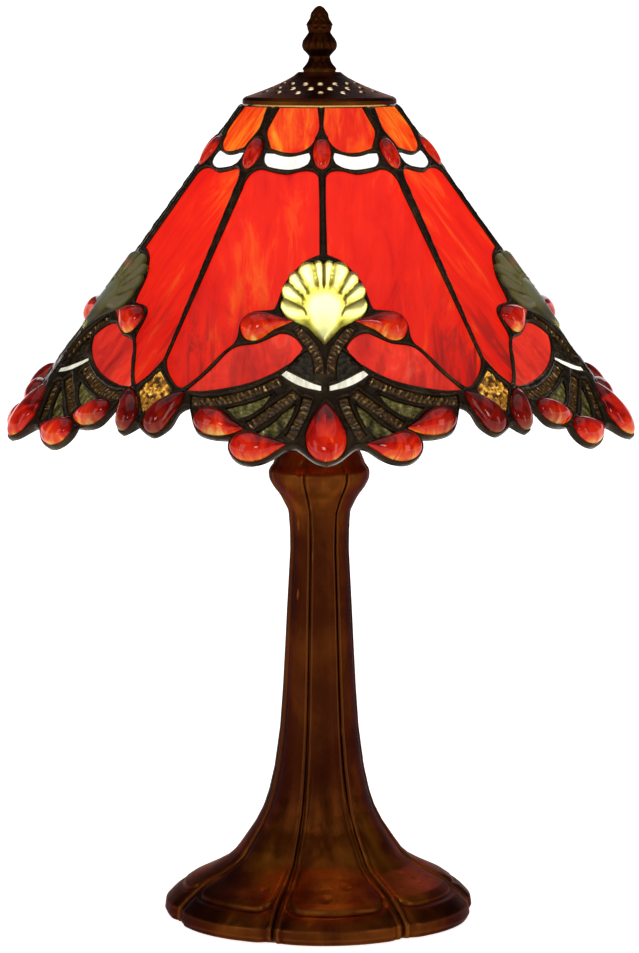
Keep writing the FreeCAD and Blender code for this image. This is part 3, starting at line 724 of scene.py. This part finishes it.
def jewel_glass():
    """Thick cast ruby: light gathers inside the low edge, while the top and the rim stay deep."""
    finish = Finish("cast_ruby_glass", Roughness=0.03, IOR=1.33, Transmission_Weight=0.2, Specular_IOR_Level=0.4)
    swirl = finish.noise(finish.pane(), 14.0, 4.0, 0.55, 1.2, (1.0, 0.6, 1.0))
    deep = finish.ramp(swirl, [(0.3, (0.030, 0.0001, 0.0001)), (0.65, (0.10, 0.0004, 0.0002))])
    level = finish.math("ADD", finish.sum((finish.slope(), -0.55), (finish.relief(), 0.45), (swirl, 1.0)), -0.27)
    glow = finish.ramp(level, [(0.02, (0.07, 0.001, 0.001)), (0.14, (0.20, 0.003, 0.001)), (0.26, (0.46, 0.006, 0.002)),
                               (0.50, (0.84, 0.030, 0.005)), (0.64, (1.0, 0.15, 0.012)), (0.78, (1.0, 0.60, 0.14))])
    # painted shade: jewels away from a motif's middle glow less
    across = finish.math("ABSOLUTE", finish.part(finish.pane(), "X"))
    finish.shade(Base_Color=deep, Emission_Color=glow, Emission_Strength=finish.ease(across, *FLANK, 0.68, 0.14))
    return finish.bumped(finish.noise(finish.pane(), 16.0, 1.0), 0.0004, 0.3)


def shell_glass_finish():
    """Pressed yellow-green glass: the ribs carry the light, the grooves between them hold the colour."""
    finish = Finish("pressed_yellow_glass", Roughness=0.42, IOR=1.34, Transmission_Weight=0.95,
                    Specular_IOR_Level=0.2, Emission_Strength=0.05)
    cloud = finish.noise(finish.pane(), 9.0, 3.0, 0.55, 0.6)
    level = finish.sum((finish.relief(), 0.22), (cloud, 0.20))
    glow = finish.ramp(level, [(0.22, (0.20, 0.15, 0.02)), (0.46, (0.32, 0.18, 0.008)), (0.58, (0.78, 0.58, 0.05)),
                               (0.70, (0.92, 0.84, 0.34)), (0.80, (0.90, 0.87, 0.52)), (0.93, (1.0, 1.0, 0.88))])
    tint = finish.ramp(level, [(0.40, (0.012, 0.013, 0.001)), (0.58, (0.062, 0.060, 0.008)),
                               (0.80, (0.11, 0.125, 0.060))])
    finish.shade(Base_Color=tint, Emission_Color=glow)
    return finish.bumped(finish.noise(finish.pane(), 30.0, 2.0), 0.0004, 0.3)


def relief_glass(name, stops, strength, spread=1.0):
    """Textured sheet: light gathers on its ridges and leaves the hollows dark."""
    finish = Finish(name, Roughness=0.2, IOR=1.5, Specular_IOR_Level=0.22, Emission_Strength=strength)
    grain = finish.noise(finish.pane(), 60.0, 3.0, 0.6)
    colour = finish.ramp(finish.sum((finish.relief(), spread), (grain, 0.75)), stops)
    finish.shade(Emission_Color=finish.times(colour, lamp_light(finish, 0.08, 0.2, 0.5)),
                 Base_Color=finish.times(colour, (0.15, 0.15, 0.15)))
    return finish.bumped(grain, 0.0006, 0.6)


def lead_finish():
    """Solder with a dark patina, worn bright in places."""
    finish = Finish("patinated_solder", Metallic=0.2, Specular_IOR_Level=0.18, Specular_Tint=(1.0, 0.80, 0.55, 1.0))
    place = finish.place()
    patina = finish.noise(place, 55.0, 4.0, 0.6, 0.4)
    finish.shade(Base_Color=finish.ramp(patina, [(0.3, (0.004, 0.0015, 0.0008)), (0.55, (0.011, 0.006, 0.003)),
                                                 (0.75, (0.04, 0.030, 0.014))]),
                 Roughness=finish.span(finish.noise(place, 140.0), 0.3, 0.7, 0.2, 0.4))
    return finish.bumped(finish.noise(place, 260.0), 0.0006, 0.5)


def bronze_finish(name, tone=1.0, inside=0.0):
    """Dark bronze paint in random copper-toned patches, lighter on sharp edges where rubbed-through copper and a
    painted highlight meet, with painted light on the foot's panels and the collar, painted shade on the foot's bottom
    rim and, on the cap, a painted lamp glow inside.
    """
    finish = Finish(name, Metallic=0.88, Specular_IOR_Level=0.2, Specular_Tint=(0.32, 0.14, 0.055, 1.0))
    place = finish.place()
    broad = finish.noise(place, 16.0, 4.0, 0.55, 0.7)
    drift = finish.noise(place, 60.0, 4.0, 0.6, 0.5, (1.0, 1.0, 0.35))
    height = finish.part(place, "Z")
    # painted light and shade by height: the foot's panels and the collar lighter, the foot's bottom rim darker
    level = finish.sum((broad, 0.7), (drift, 0.3), (finish.ease(height, *FOOT_PAINTED_LIGHT, 0.14, -0.04), 1.0),
                       (finish.ease(height, *RIM_PAINTED_SHADE, -0.12, 0.0), 1.0),
                       (finish.ease(height, *COLLAR_PAINTED_LIGHT, 0.0, 0.09), 1.0))
    stops = [(0.30, (0.020, 0.0030, 0.0010)), (0.46, (0.036, 0.0072, 0.0018)),
             (0.58, (0.080, 0.020, 0.003)), (0.72, (0.22, 0.070, 0.007))]
    paint = finish.ramp(level, [(stop, tuple(c * tone for c in colour)) for stop, colour in stops])
    # sharp edges and beads lighter: rubbed-through copper and a painted highlight together
    edges = finish.span(finish.add("NewGeometry").outputs["Pointiness"], 0.505, 0.56, 0.0, 0.6)
    finish.shade(Base_Color=finish.mix(edges, paint, tuple(c * tone for c in (0.17, 0.055, 0.012))),
                 Roughness=finish.span(drift, 0.3, 0.7, 0.28, 0.44))
    if inside:
        # painted lamp light: the cap's downward-facing inside glows warm, standing in for the bulb's light seen through
        # the vents
        painted_glow = finish.math("MULTIPLY", finish.ease(finish.slope(), -0.2, -0.5), finish.ease(height, *CAP_PAINTED_GLOW))
        finish.shade(Emission_Color=finish.ramp(drift, [(0.3, (1.0, 0.66, 0.34)), (0.6, (1.0, 0.86, 0.58))]),
                     Emission_Strength=finish.math("MULTIPLY", painted_glow, inside))
    return finish.bumped(finish.noise(place, 420.0, 3.0, 0.55), 0.0004, 0.35)


def metal_finish(name, dark, light, rough):
    """Bare or plated metal with drawn lines and stains."""
    finish = Finish(name, Metallic=1.0)
    place = finish.place()
    drawn = finish.noise(place, 300.0, 3.0, 0.6, stretch=(1.0, 1.0, 12.0))
    stain = finish.noise(place, 45.0, 3.0, 0.6)
    finish.shade(Base_Color=finish.ramp(finish.sum((drawn, 0.35), (stain, 0.65)), [(0.32, dark), (0.62, light)]),
                 Roughness=finish.span(stain, 0.3, 0.75, rough, rough + 0.2))
    return finish.bumped(drawn, 0.0002, 0.4)


def plain_finish(name, dark, light, rough, scale, depth, **sockets):
    """Moulded or pressed stuff with a fine grain."""
    finish = Finish(name, Roughness=rough, **sockets)
    grain = finish.noise(finish.place(), scale, 4.0, 0.6)
    finish.shade(Base_Color=finish.ramp(grain, [(0.35, dark), (0.65, light)]))
    return finish.bumped(grain, depth, 0.6)


def bulb_finish():
    """Lit glass: bright enough to shine through the shells."""
    finish = Finish("lit_bulb_glass", Roughness=0.12, IOR=1.45, Emission_Strength=30.0)
    haze = finish.noise(finish.place(), 60.0, 2.0)
    warm = finish.ramp(haze, [(0.3, (1.0, 0.86, 0.60)), (0.7, (1.0, 0.93, 0.74))])
    finish.shade(Base_Color=warm, Emission_Color=warm)
    return finish.material


# ---- the casting ----
LOBES = 7
FRONT_LOBE = math.radians(6.85)
BAY = 2 * math.pi / LOBES
PER_LOBE = 60
HAIR = 2e-5  # rows at a node's ends are measured this far inside it, in metres
FINE_ROWS, COARSE_ROWS = 0.0007, 0.0016  # metres along the crest from row to row
FINE_BELOW, FINE_ABOVE = 0.030, 0.205  # the foot's step and the collar have the fine rows
# millimetres from here on
STEP_RADIUS = 69.3  # crest radius of the step round the foot's panels
PETAL_TOP = 227.3  # height of the collar petals' upper edge
COLLAR = 208, 214, 231, 233  # heights over which the collar's corners are rounded
SOCKET_FLOOR = 234.0  # top of the hollow in the collar
WALL, FOOT_WALL = 3.6, 6.5  # thickness above and below the foot's shoulder
SHOULDER = 40
PLATE_LEDGE = 70.6, 3.2  # radius and height of the recess for the bottom plate


def surface_radius(tree, azimuths, z, reach):
    """How far out the node's surface is at each azimuth, on one level."""
    found = []
    for a in azimuths:
        out = Vector((math.sin(a), -math.cos(a), 0))
        hit = tree.ray_cast(out * reach + Vector((0, 0, z)), -out)[0]
        found.append(math.hypot(hit.x, hit.y) if hit else 0.0)
    return np.array(found)


def bay_places():
    """Places across a bay from groove (-1) to groove (1), closer together at the grooves."""
    even = np.linspace(-1, 1, PER_LOBE, endpoint=False)
    return np.sign(even) * (1 - (1 - np.abs(even)) ** 1.45)


def rounded_corner(a, b, radius):
    """Distance inside a corner's two sides, rounded."""
    near = np.hypot(np.clip(radius - a, 0, None), np.clip(radius - b, 0, None))
    return np.where((a < radius) & (b < radius), radius - near, np.minimum(a, b))


def casting_rows(azimuths, low, high):
    """Heights of the rows, the radii on each, and how far each is along the crest above the step."""
    tree = BVHTree.FromObject(NODES["column_casting"], bpy.context.evaluated_depsgraph_get())
    fine_z = np.linspace(low + HAIR, high - HAIR, 500)
    crest = np.array([surface_radius(tree, [FRONT_LOBE], z, 0.12)[0] for z in fine_z])
    run = np.concatenate([[0], np.cumsum(np.hypot(np.diff(crest), np.diff(fine_z)))])
    places, at = [0.0], 0.0
    while at < run[-1] - 0.0015:
        z = np.interp(at, run, fine_z)
        at += FINE_ROWS if z < FINE_BELOW or z > FINE_ABOVE else COARSE_ROWS
        places.append(min(at, run[-1]))
    heights = np.interp(places, run, fine_z)
    radii = np.array([surface_radius(tree, azimuths, z, 0.12) for z in heights])
    spread = hump(heights[:, None] - heights, 1.3 * MM)
    rounded = spread @ radii / spread.sum(1, keepdims=True)
    bud = np.interp(heights / MM, COLLAR, [0.0, 1.0, 1.0, 0.0])[:, None]
    step_at = np.interp(-STEP_RADIUS * MM, -crest, run)
    return heights, radii + bud * (rounded - radii), (np.array(places)[:, None] - step_at) / MM


def casting_relief(heights, radii, above, across):
    """Beads, grooves and ditches that stand on the plain casting. All in millimetres."""
    from_middle = np.tile(np.abs(np.tile(across, LOBES)), (len(heights), 1))
    from_groove = (1 - from_middle) * BAY / 2 * radii
    bead_at = np.interp(radii, [15, 20, 30, 70], [1.15, 1.4, 1.9, 2.4]) * np.where(heights > 200, 0.85, 1.0)
    bead_wide = 0.62 * bead_at
    below_top = np.clip((PETAL_TOP - heights) / 1.2, 0, 1)
    strength = np.interp(radii, [15, 30, 75], [0.55, 0.75, 1.0])
    beads = strength * np.sqrt(np.clip(1 - ((from_groove - bead_at) / bead_wide) ** 2, 0, 1)) * below_top
    deep = -np.interp(radii, [30, 70], [0.75, 1.5]) * strength
    groove = deep * hump(from_groove, 0.42 * bead_at) * below_top
    side = from_groove - bead_at - bead_wide
    inset = rounded_corner(side, above, 9.0)
    fade = np.interp(above, [-3, 8, 40], [1.0, 0.75, 0.25])
    ditch = -1.1 * hump(inset + 0.9, 1.5) * np.where(above < 12, 1.0, fade)
    ditch = ditch * np.clip(side / 1.2, 0, 1)
    panel_edge = 0.22 * hump(inset - 1.2, 0.9) * np.clip(side / 1.2, 0, 1) * (above < 30)
    lip = 0.12 * hump(heights - PETAL_TOP + 1.2, 1.5) * np.clip((side + 1.0) / 1.5, 0, 1)
    neck = -0.7 * np.clip((heights - PETAL_TOP) / 2.5, 0, 1)
    return beads + groove + ditch + panel_edge + lip + neck


def around_axis(azimuths, radii, heights):
    """Points at each azimuth of rows with these radii and heights, which are columns."""
    x, y = radii * np.sin(azimuths), -radii * np.cos(azimuths)
    return np.stack([x, y, np.broadcast_to(heights, x.shape)], -1)


def lathed(azimuths, profile, scale=1.0):
    """Round rows from a profile of radii and heights."""
    radii, heights = np.array(profile).T * scale
    return around_axis(azimuths, radii[:, None], heights[:, None])


def casting():
    """Foot, column and collar: convex panels between beaded grooves."""
    low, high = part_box("column_casting")
    across = bay_places()
    azimuths = np.concatenate([FRONT_LOBE + BAY * (k + across / 2) for k in range(LOBES)])
    heights, radii, above = casting_rows(azimuths, low[2], high[2])
    points = around_axis(azimuths, radii, heights[:, None])
    relief = casting_relief(heights[:, None] / MM, radii / MM, above, across)
    rise = (relief + dent_field(points)) * MM
    up = np.gradient(points, axis=0)
    sideways = np.roll(points, -1, 1) - np.roll(points, 1, 1)
    points = points + unit(np.cross(sideways, up)) * rise[..., None]
    points[..., 2] = np.clip(points[..., 2], low[2], high[2])
    bore, ledge = 5.2, PLATE_LEDGE[1]
    inner = [(bore, high[2] / MM), (bore, SOCKET_FLOOR + 0.2), (15.2, SOCKET_FLOOR)]
    inner += [(np.interp(z, heights / MM, radii.min(1) / MM) - (WALL if z > SHOULDER else FOOT_WALL), z)
              for z in (226, 214, 200, 160, 120, 80, 60, 47, 36, 28, 20, 12)]
    inner += [(66.0, ledge), (PLATE_LEDGE[0], ledge), (PLATE_LEDGE[0], low[2] / MM)]
    return sharpen(grid_object("fluted_casting", np.concatenate([points, lathed(azimuths, inner, MM)])), 40)


def dent_field(points):
    """Shallow dents and casting blotches on the foot's panels."""
    state = np.random.default_rng(7)
    field = np.zeros(points.shape[:2])
    for _ in range(16):
        azimuth, radius = state.uniform(0, 2 * math.pi), state.uniform(0.040, 0.066)
        size = state.uniform(0.0014, 0.0026)
        centre = np.array([radius * math.sin(azimuth), -radius * math.cos(azimuth)])
        away = np.linalg.norm(points[..., :2] - centre, axis=-1) / size
        foot = points[..., 2] < 0.035
        field += foot * (-0.28 * np.exp(-away ** 2) + 0.12 * hump(away - 1.6, 0.5))
    return field


def grid_object(name, grid, open_rows=0):
    """Mesh of rows of points round the axis, the last row joined to the first unless one is open."""
    rows, columns = grid.shape[:2]
    number = np.arange(rows * columns).reshape(rows, columns)
    ahead, beside = np.roll(number, -1, 0), np.roll(number, -1, 1)
    both = np.roll(ahead, -1, 1)
    faces = np.stack([number, beside, both, ahead], -1)[:rows - open_rows].reshape(-1, 4)
    return new_object(name, grid.reshape(-1, 3), faces.tolist())


# heights on the finial, in millimetres
FINIAL_FOOT, FINIAL_BULB, FINIAL_CONE, FINIAL_TIP = (426.2, 430.5), 438.0, 445.0, 457.2


def finial():
    """Pine-cone finial: leaves round the cone, gadroons round the bulb."""
    tree = BVHTree.FromObject(NODES["finial"], bpy.context.evaluated_depsgraph_get())
    low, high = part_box("finial")
    heights = np.linspace(low[2] + HAIR, high[2] - HAIR / 2, 110)
    angles = np.linspace(0, 2 * math.pi, 120, endpoint=False)
    radius = np.array([surface_radius(tree, [0.0], z, 0.03)[0] for z in heights])[:, None]
    z = heights[:, None] / MM
    bulb = np.exp(-((z - FINIAL_BULB) / 4.0) ** 4)
    cone = np.clip((z - FINIAL_CONE) / 1.5, 0, 1) * np.clip((FINIAL_TIP - z) / 2.5, 0, 1)
    foot = np.clip((z - FINIAL_FOOT[0]) / 0.8, 0, 1) * np.clip((FINIAL_FOOT[1] - z) / 1.2, 0, 1)
    gadroon = -0.75 * (1 - np.abs(np.cos(6 * angles)) ** 0.7) * bulb
    flutes = -0.5 * (1 - np.abs(np.cos(5 * angles)) ** 0.7) * foot
    wind = (z - FINIAL_CONE) * 0.748
    scale_a, scale_b = np.abs(np.cos(4 * angles + wind)), np.abs(np.cos(4 * angles - wind))
    scales = -0.8 * (1 - np.minimum(scale_a, scale_b) ** 0.5) * cone
    radii = np.maximum(radius + (gadroon + flutes + scales) * MM, 0.0006)
    bore, bored_to = 4.02, 437.4
    inner = [(0.3, FINIAL_TIP - 0.1), (0.3, bored_to), (bore, bored_to), (bore, low[2] / MM)]
    grid = np.concatenate([around_axis(angles, radii, heights[:, None]), lathed(angles, inner, MM)])
    return sharpen(grid_object("leafed_finial", grid), 45)


def felt():
    """Pad under the foot, with a fibrous face and a soft cut edge."""
    low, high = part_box("felt_pad")
    radius = high[0] - 0.0002
    section = [(0.0004, high[2]), (radius * 0.5, high[2]), (radius - 0.0003, high[2]), (radius, high[2] - 0.0004),
               (radius, low[2] + 0.0005), (radius - 0.0005, low[2])]
    section += [(radius * f, low[2]) for f in (0.95, 0.88, 0.8, 0.7, 0.6, 0.5, 0.4, 0.3, 0.2, 0.1)]
    section.append((0.0004, low[2]))
    angles = np.linspace(0, 2 * math.pi, 160, endpoint=False)
    grid = lathed(angles, section)
    fuzz = np.array([[noise.noise(Vector(p) * 900) for p in row] for row in grid])
    grid[..., :2] *= 1 + 0.0006 * fuzz[..., None]
    grid[..., 2] = np.clip(grid[..., 2] + 0.00012 * np.abs(fuzz) * (grid[..., 2] < 0.001), 0, None)
    return grid_object("felt_disc", grid)


# ---- build ----
def dress(piece, body, slot, material, *nodes):
    """Give a rebuilt piece its material and its body, and hide the nodes it stands for; slot is not used."""
    piece.data.materials.append(material)
    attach(piece, body)
    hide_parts(*nodes)
    return piece


# each glass's colours, from the darkest of its streaks to the lightest
RED = [(0.26, (0.30, 0.003, 0.003)), (0.40, (0.82, 0.010, 0.004)), (0.54, (0.96, 0.018, 0.005)),
       (0.64, (1.0, 0.085, 0.008)), (0.76, (1.0, 0.38, 0.05))]
ROSE = [(0.26, (0.22, 0.006, 0.006)), (0.42, (0.62, 0.020, 0.012)), (0.55, (0.85, 0.035, 0.016)),
        (0.66, (0.88, 0.12, 0.07)), (0.78, (0.80, 0.38, 0.28))]
FLAME = [(0.28, (0.55, 0.008, 0.003)), (0.42, (0.88, 0.020, 0.003)), (0.51, (1.0, 0.09, 0.005)),
         (0.59, (1.0, 0.27, 0.012)), (0.68, (1.0, 0.62, 0.10))]
OPAL = [(0.28, (0.42, 0.38, 0.30)), (0.45, (0.80, 0.78, 0.72)), (0.60, (0.95, 0.95, 0.93)), (0.75, (1.0, 1.0, 1.0))]
MILKY = [(0.28, (0.22, 0.20, 0.12)), (0.45, (0.58, 0.56, 0.44)), (0.60, (0.95, 0.93, 0.82)), (0.75, (1.0, 1.0, 0.95))]
MOSS = [(0.15, (0.008, 0.007, 0.001)), (0.36, (0.075, 0.058, 0.010)), (0.52, (0.18, 0.16, 0.05)),
        (0.68, (0.52, 0.52, 0.30))]

red = streaky("streaky_red_glass", RED, 1.0, low_darkening=0.7)
rose = streaky("streaky_rose_glass", ROSE, 1.3, along=0.6, scale=7.0, low_darkening=0.4)
flame = streaky("streaky_flame_glass", FLAME, 1.0, along=0.22, scale=15.0)
opal = streaky("opal_slip_glass", OPAL, 1.45, scale=12.0)
milky = streaky("milky_sliver_glass", MILKY, 1.8, scale=18.0)
moss = relief_glass("rolled_green_glass", MOSS, 1.0, 1.6)
amber = relief_glass("ripple_amber_glass", [(0.10, (0.012, 0.006, 0.002)), (0.45, (0.055, 0.024, 0.004)),
                                            (0.70, (0.22, 0.11, 0.016)), (0.98, (0.95, 0.72, 0.38))], 0.9)
chipped = relief_glass("glue_chip_amber_glass", [(0.05, (0.05, 0.018, 0.003)), (0.35, (0.28, 0.11, 0.012)),
                                                 (0.65, (0.80, 0.38, 0.03)), (0.98, (1.0, 0.80, 0.22))], 1.3, 0.9)
dusk = relief_glass("seedy_dark_glass", [(0.20, (0.006, 0.004, 0.002)), (0.60, (0.03, 0.020, 0.006)),
                                         (0.82, (0.26, 0.04, 0.02)), (1.0, (0.70, 0.26, 0.18))], 0.9)
ruby = jewel_glass()
shell = shell_glass_finish()
solder = lead_finish()
bronze = bronze_finish("bronze_paint_finish")
dark_bronze = bronze_finish("dark_bronze_paint_finish", 0.4)

for material, slot, texture, names in (
        (red, "red_glass", None, "red_panel_glass"), (rose, "red_leaf_glass", None, "red_leaf_glass"),
        (flame, "orange_red_glass", None, "crown_petal_glass"), (opal, "opal_glass", None, "white_slip_glass"),
        (milky, "opal_glass", rolled, "white_sliver_glass"),
        (moss, "green_glass", rolled, "green_upper_wedges green_lower_wedges"),
        (amber, "amber_glass", ribbed, "amber_scroll_glass amber_upper_strips amber_middle_strips amber_inner_strips"),
        (dusk, "dark_glass", seedy, "dark_infill_glass"), (chipped, "diamond_glass", glue_chip, "amber_diamond_glass")):
    for node in names.split():
        dress(sheet_glass(node, texture), "shade", slot, material, node)
for node, height, fold_round in (
        ("crown_ruby_ovals", 3.0, 3.0), ("shell_side_drops", 6.0, 2.0), ("centre_ruby_drops", 6.0, 9.0),
        ("inner_ruby_drops", 6.0, 2.0), ("outer_ruby_drops", 6.0, 2.0), ("flank_ruby_drops", 6.0, 2.0)):
    dress(jewel(node, height, fold_round), "shade", "ruby_glass", ruby, node)
dress(shells(), "shade", "shell_glass", shell, "shell_glass")
dress(leading(), "shade", "dark_lead", solder, "shade_leading")
dress(casting(), "base", "bronze_paint", bronze, "column_casting")
dress(finial(), "finial", "bronze_paint", dark_bronze, "finial")
felt_finish = plain_finish("black_felt", (0.006, 0.006, 0.007), (0.035, 0.034, 0.034), 0.95, 900.0, 0.0006,
                           Sheen_Weight=0.4, Sheen_Roughness=0.6)
pad = dress(felt(), "base", "felt", felt_finish, "felt_pad")

zinc = metal_finish("zinc_plated_steel", (0.34, 0.34, 0.33), (0.60, 0.60, 0.57), 0.34)
brass = metal_finish("aged_brass", (0.38, 0.23, 0.07), (0.74, 0.52, 0.22), 0.24)
antique = metal_finish("antique_plating", (0.10, 0.055, 0.025), (0.34, 0.21, 0.10), 0.32)
nickel = metal_finish("bulb_cap_metal", (0.48, 0.47, 0.44), (0.76, 0.75, 0.72), 0.22)
rubber = plain_finish("black_rubber", (0.010, 0.010, 0.010), (0.032, 0.031, 0.030), 0.75, 500.0, 0.0003)
card = plain_finish("fibre_card", (0.12, 0.08, 0.045), (0.26, 0.19, 0.12), 0.9, 380.0, 0.0004)
phenolic = plain_finish("moulded_phenolic", (0.014, 0.009, 0.007), (0.045, 0.028, 0.020), 0.28, 160.0, 0.0002)
vented = bronze_finish("vent_cap_paint_finish", 0.45, 1.3)
coil = Finish("glowing_coil", Roughness=0.5, Emission_Strength=14.0)
heat = coil.noise(coil.place(), 300.0)
coil.shade(Emission_Color=coil.ramp(heat, [(0.3, (1.0, 0.55, 0.2)), (0.7, (1.0, 0.8, 0.45))]))
# CAD meshes that are shown as they are, by the material they take
CARRIED = (
    (vented, "vent_cap"), (zinc, "bottom_plate threaded_pipe bottom_nut lock_washer"),
    (brass, "top_nut socket_cap socket_shell switch_bushing socket_screw_shell socket_centre_contact support_wheel "
            "shade_crown_ring finial_insert"),
    (antique, "harp_saddle harp_wire ferrule_left ferrule_right harp_stud"), (nickel, "bulb_base bulb_contact"),
    (phenolic, "switch_body turn_knob bulb_insulator"), (rubber, "cord_grommet"), (card, "socket_liner"),
    (bulb_finish(), "bulb_glass bulb_stem"), (coil.material, "bulb_filament"), (dark_bronze, "finial_washer"))
for material, names in CARRIED:
    for name in names.split():
        NODES[name].data.materials.clear()
        NODES[name].data.materials.append(material)


# ---- surroundings ----
def floor():
    """Wide pale floor that curves up far behind the lamp on every side."""
    section = [(r, 0.0) for r in (0.02, 0.3, 1.0, 3.0, 7.0)]
    section += [(7.0 + math.sin(a), 1.0 - math.cos(a)) for a in np.linspace(0.15, math.pi / 2, 10)]
    section.append((8.0, 1.7))
    angles = np.linspace(0, 2 * math.pi, 96, endpoint=False)
    points = lathed(angles, section)
    points[0, :, :2] = 0.0
    stand = grid_object("pale_floor", points[::-1], open_rows=1)
    finish = Finish("pale_floor_paint", Roughness=0.9, Specular_IOR_Level=0.1, Emission_Strength=0.92)
    pale = finish.ramp(finish.noise(finish.place(), 3.0), [(0.3, (0.90,) * 3), (0.7, (0.93,) * 3)])
    finish.shade(Base_Color=pale, Emission_Color=pale)
    stand.data.materials.append(finish.material)


LAMP_MIDDLE = 0, 0, 0.28


def softbox(name, place, size, power):
    data = bpy.data.lights.new(name, "AREA")
    data.shape = "RECTANGLE"
    data.size, data.size_y = size
    data.energy = power
    light = added(name, data)
    light.location = place
    light.rotation_euler = (Vector(LAMP_MIDDLE) - Vector(place)).to_track_quat("-Z", "Y").to_euler()


floor()
softbox("left_softbox", (-1.7, -1.3, 1.0), (0.7, 1.4), 8.0)
softbox("right_softbox", (1.6, -1.5, 0.9), (0.5, 1.4), 8.0)
softbox("glint_light", (-0.5, -1.9, 1.3), (0.35, 0.35), 6.0)
softbox("top_softbox", (0.0, 0.0, 2.4), (2.6, 2.6), 16.0)
softbox("rear_softbox", (0.3, 2.2, 1.4), (1.6, 1.2), 12.0)

world = bpy.data.worlds.new("studio")
world.use_nodes = True
world.node_tree.nodes["Background"].inputs["Color"].default_value = (0.12, 0.12, 0.125, 1.0)
bpy.context.scene.world = world
bpy.context.scene.view_settings.view_transform = "Standard"
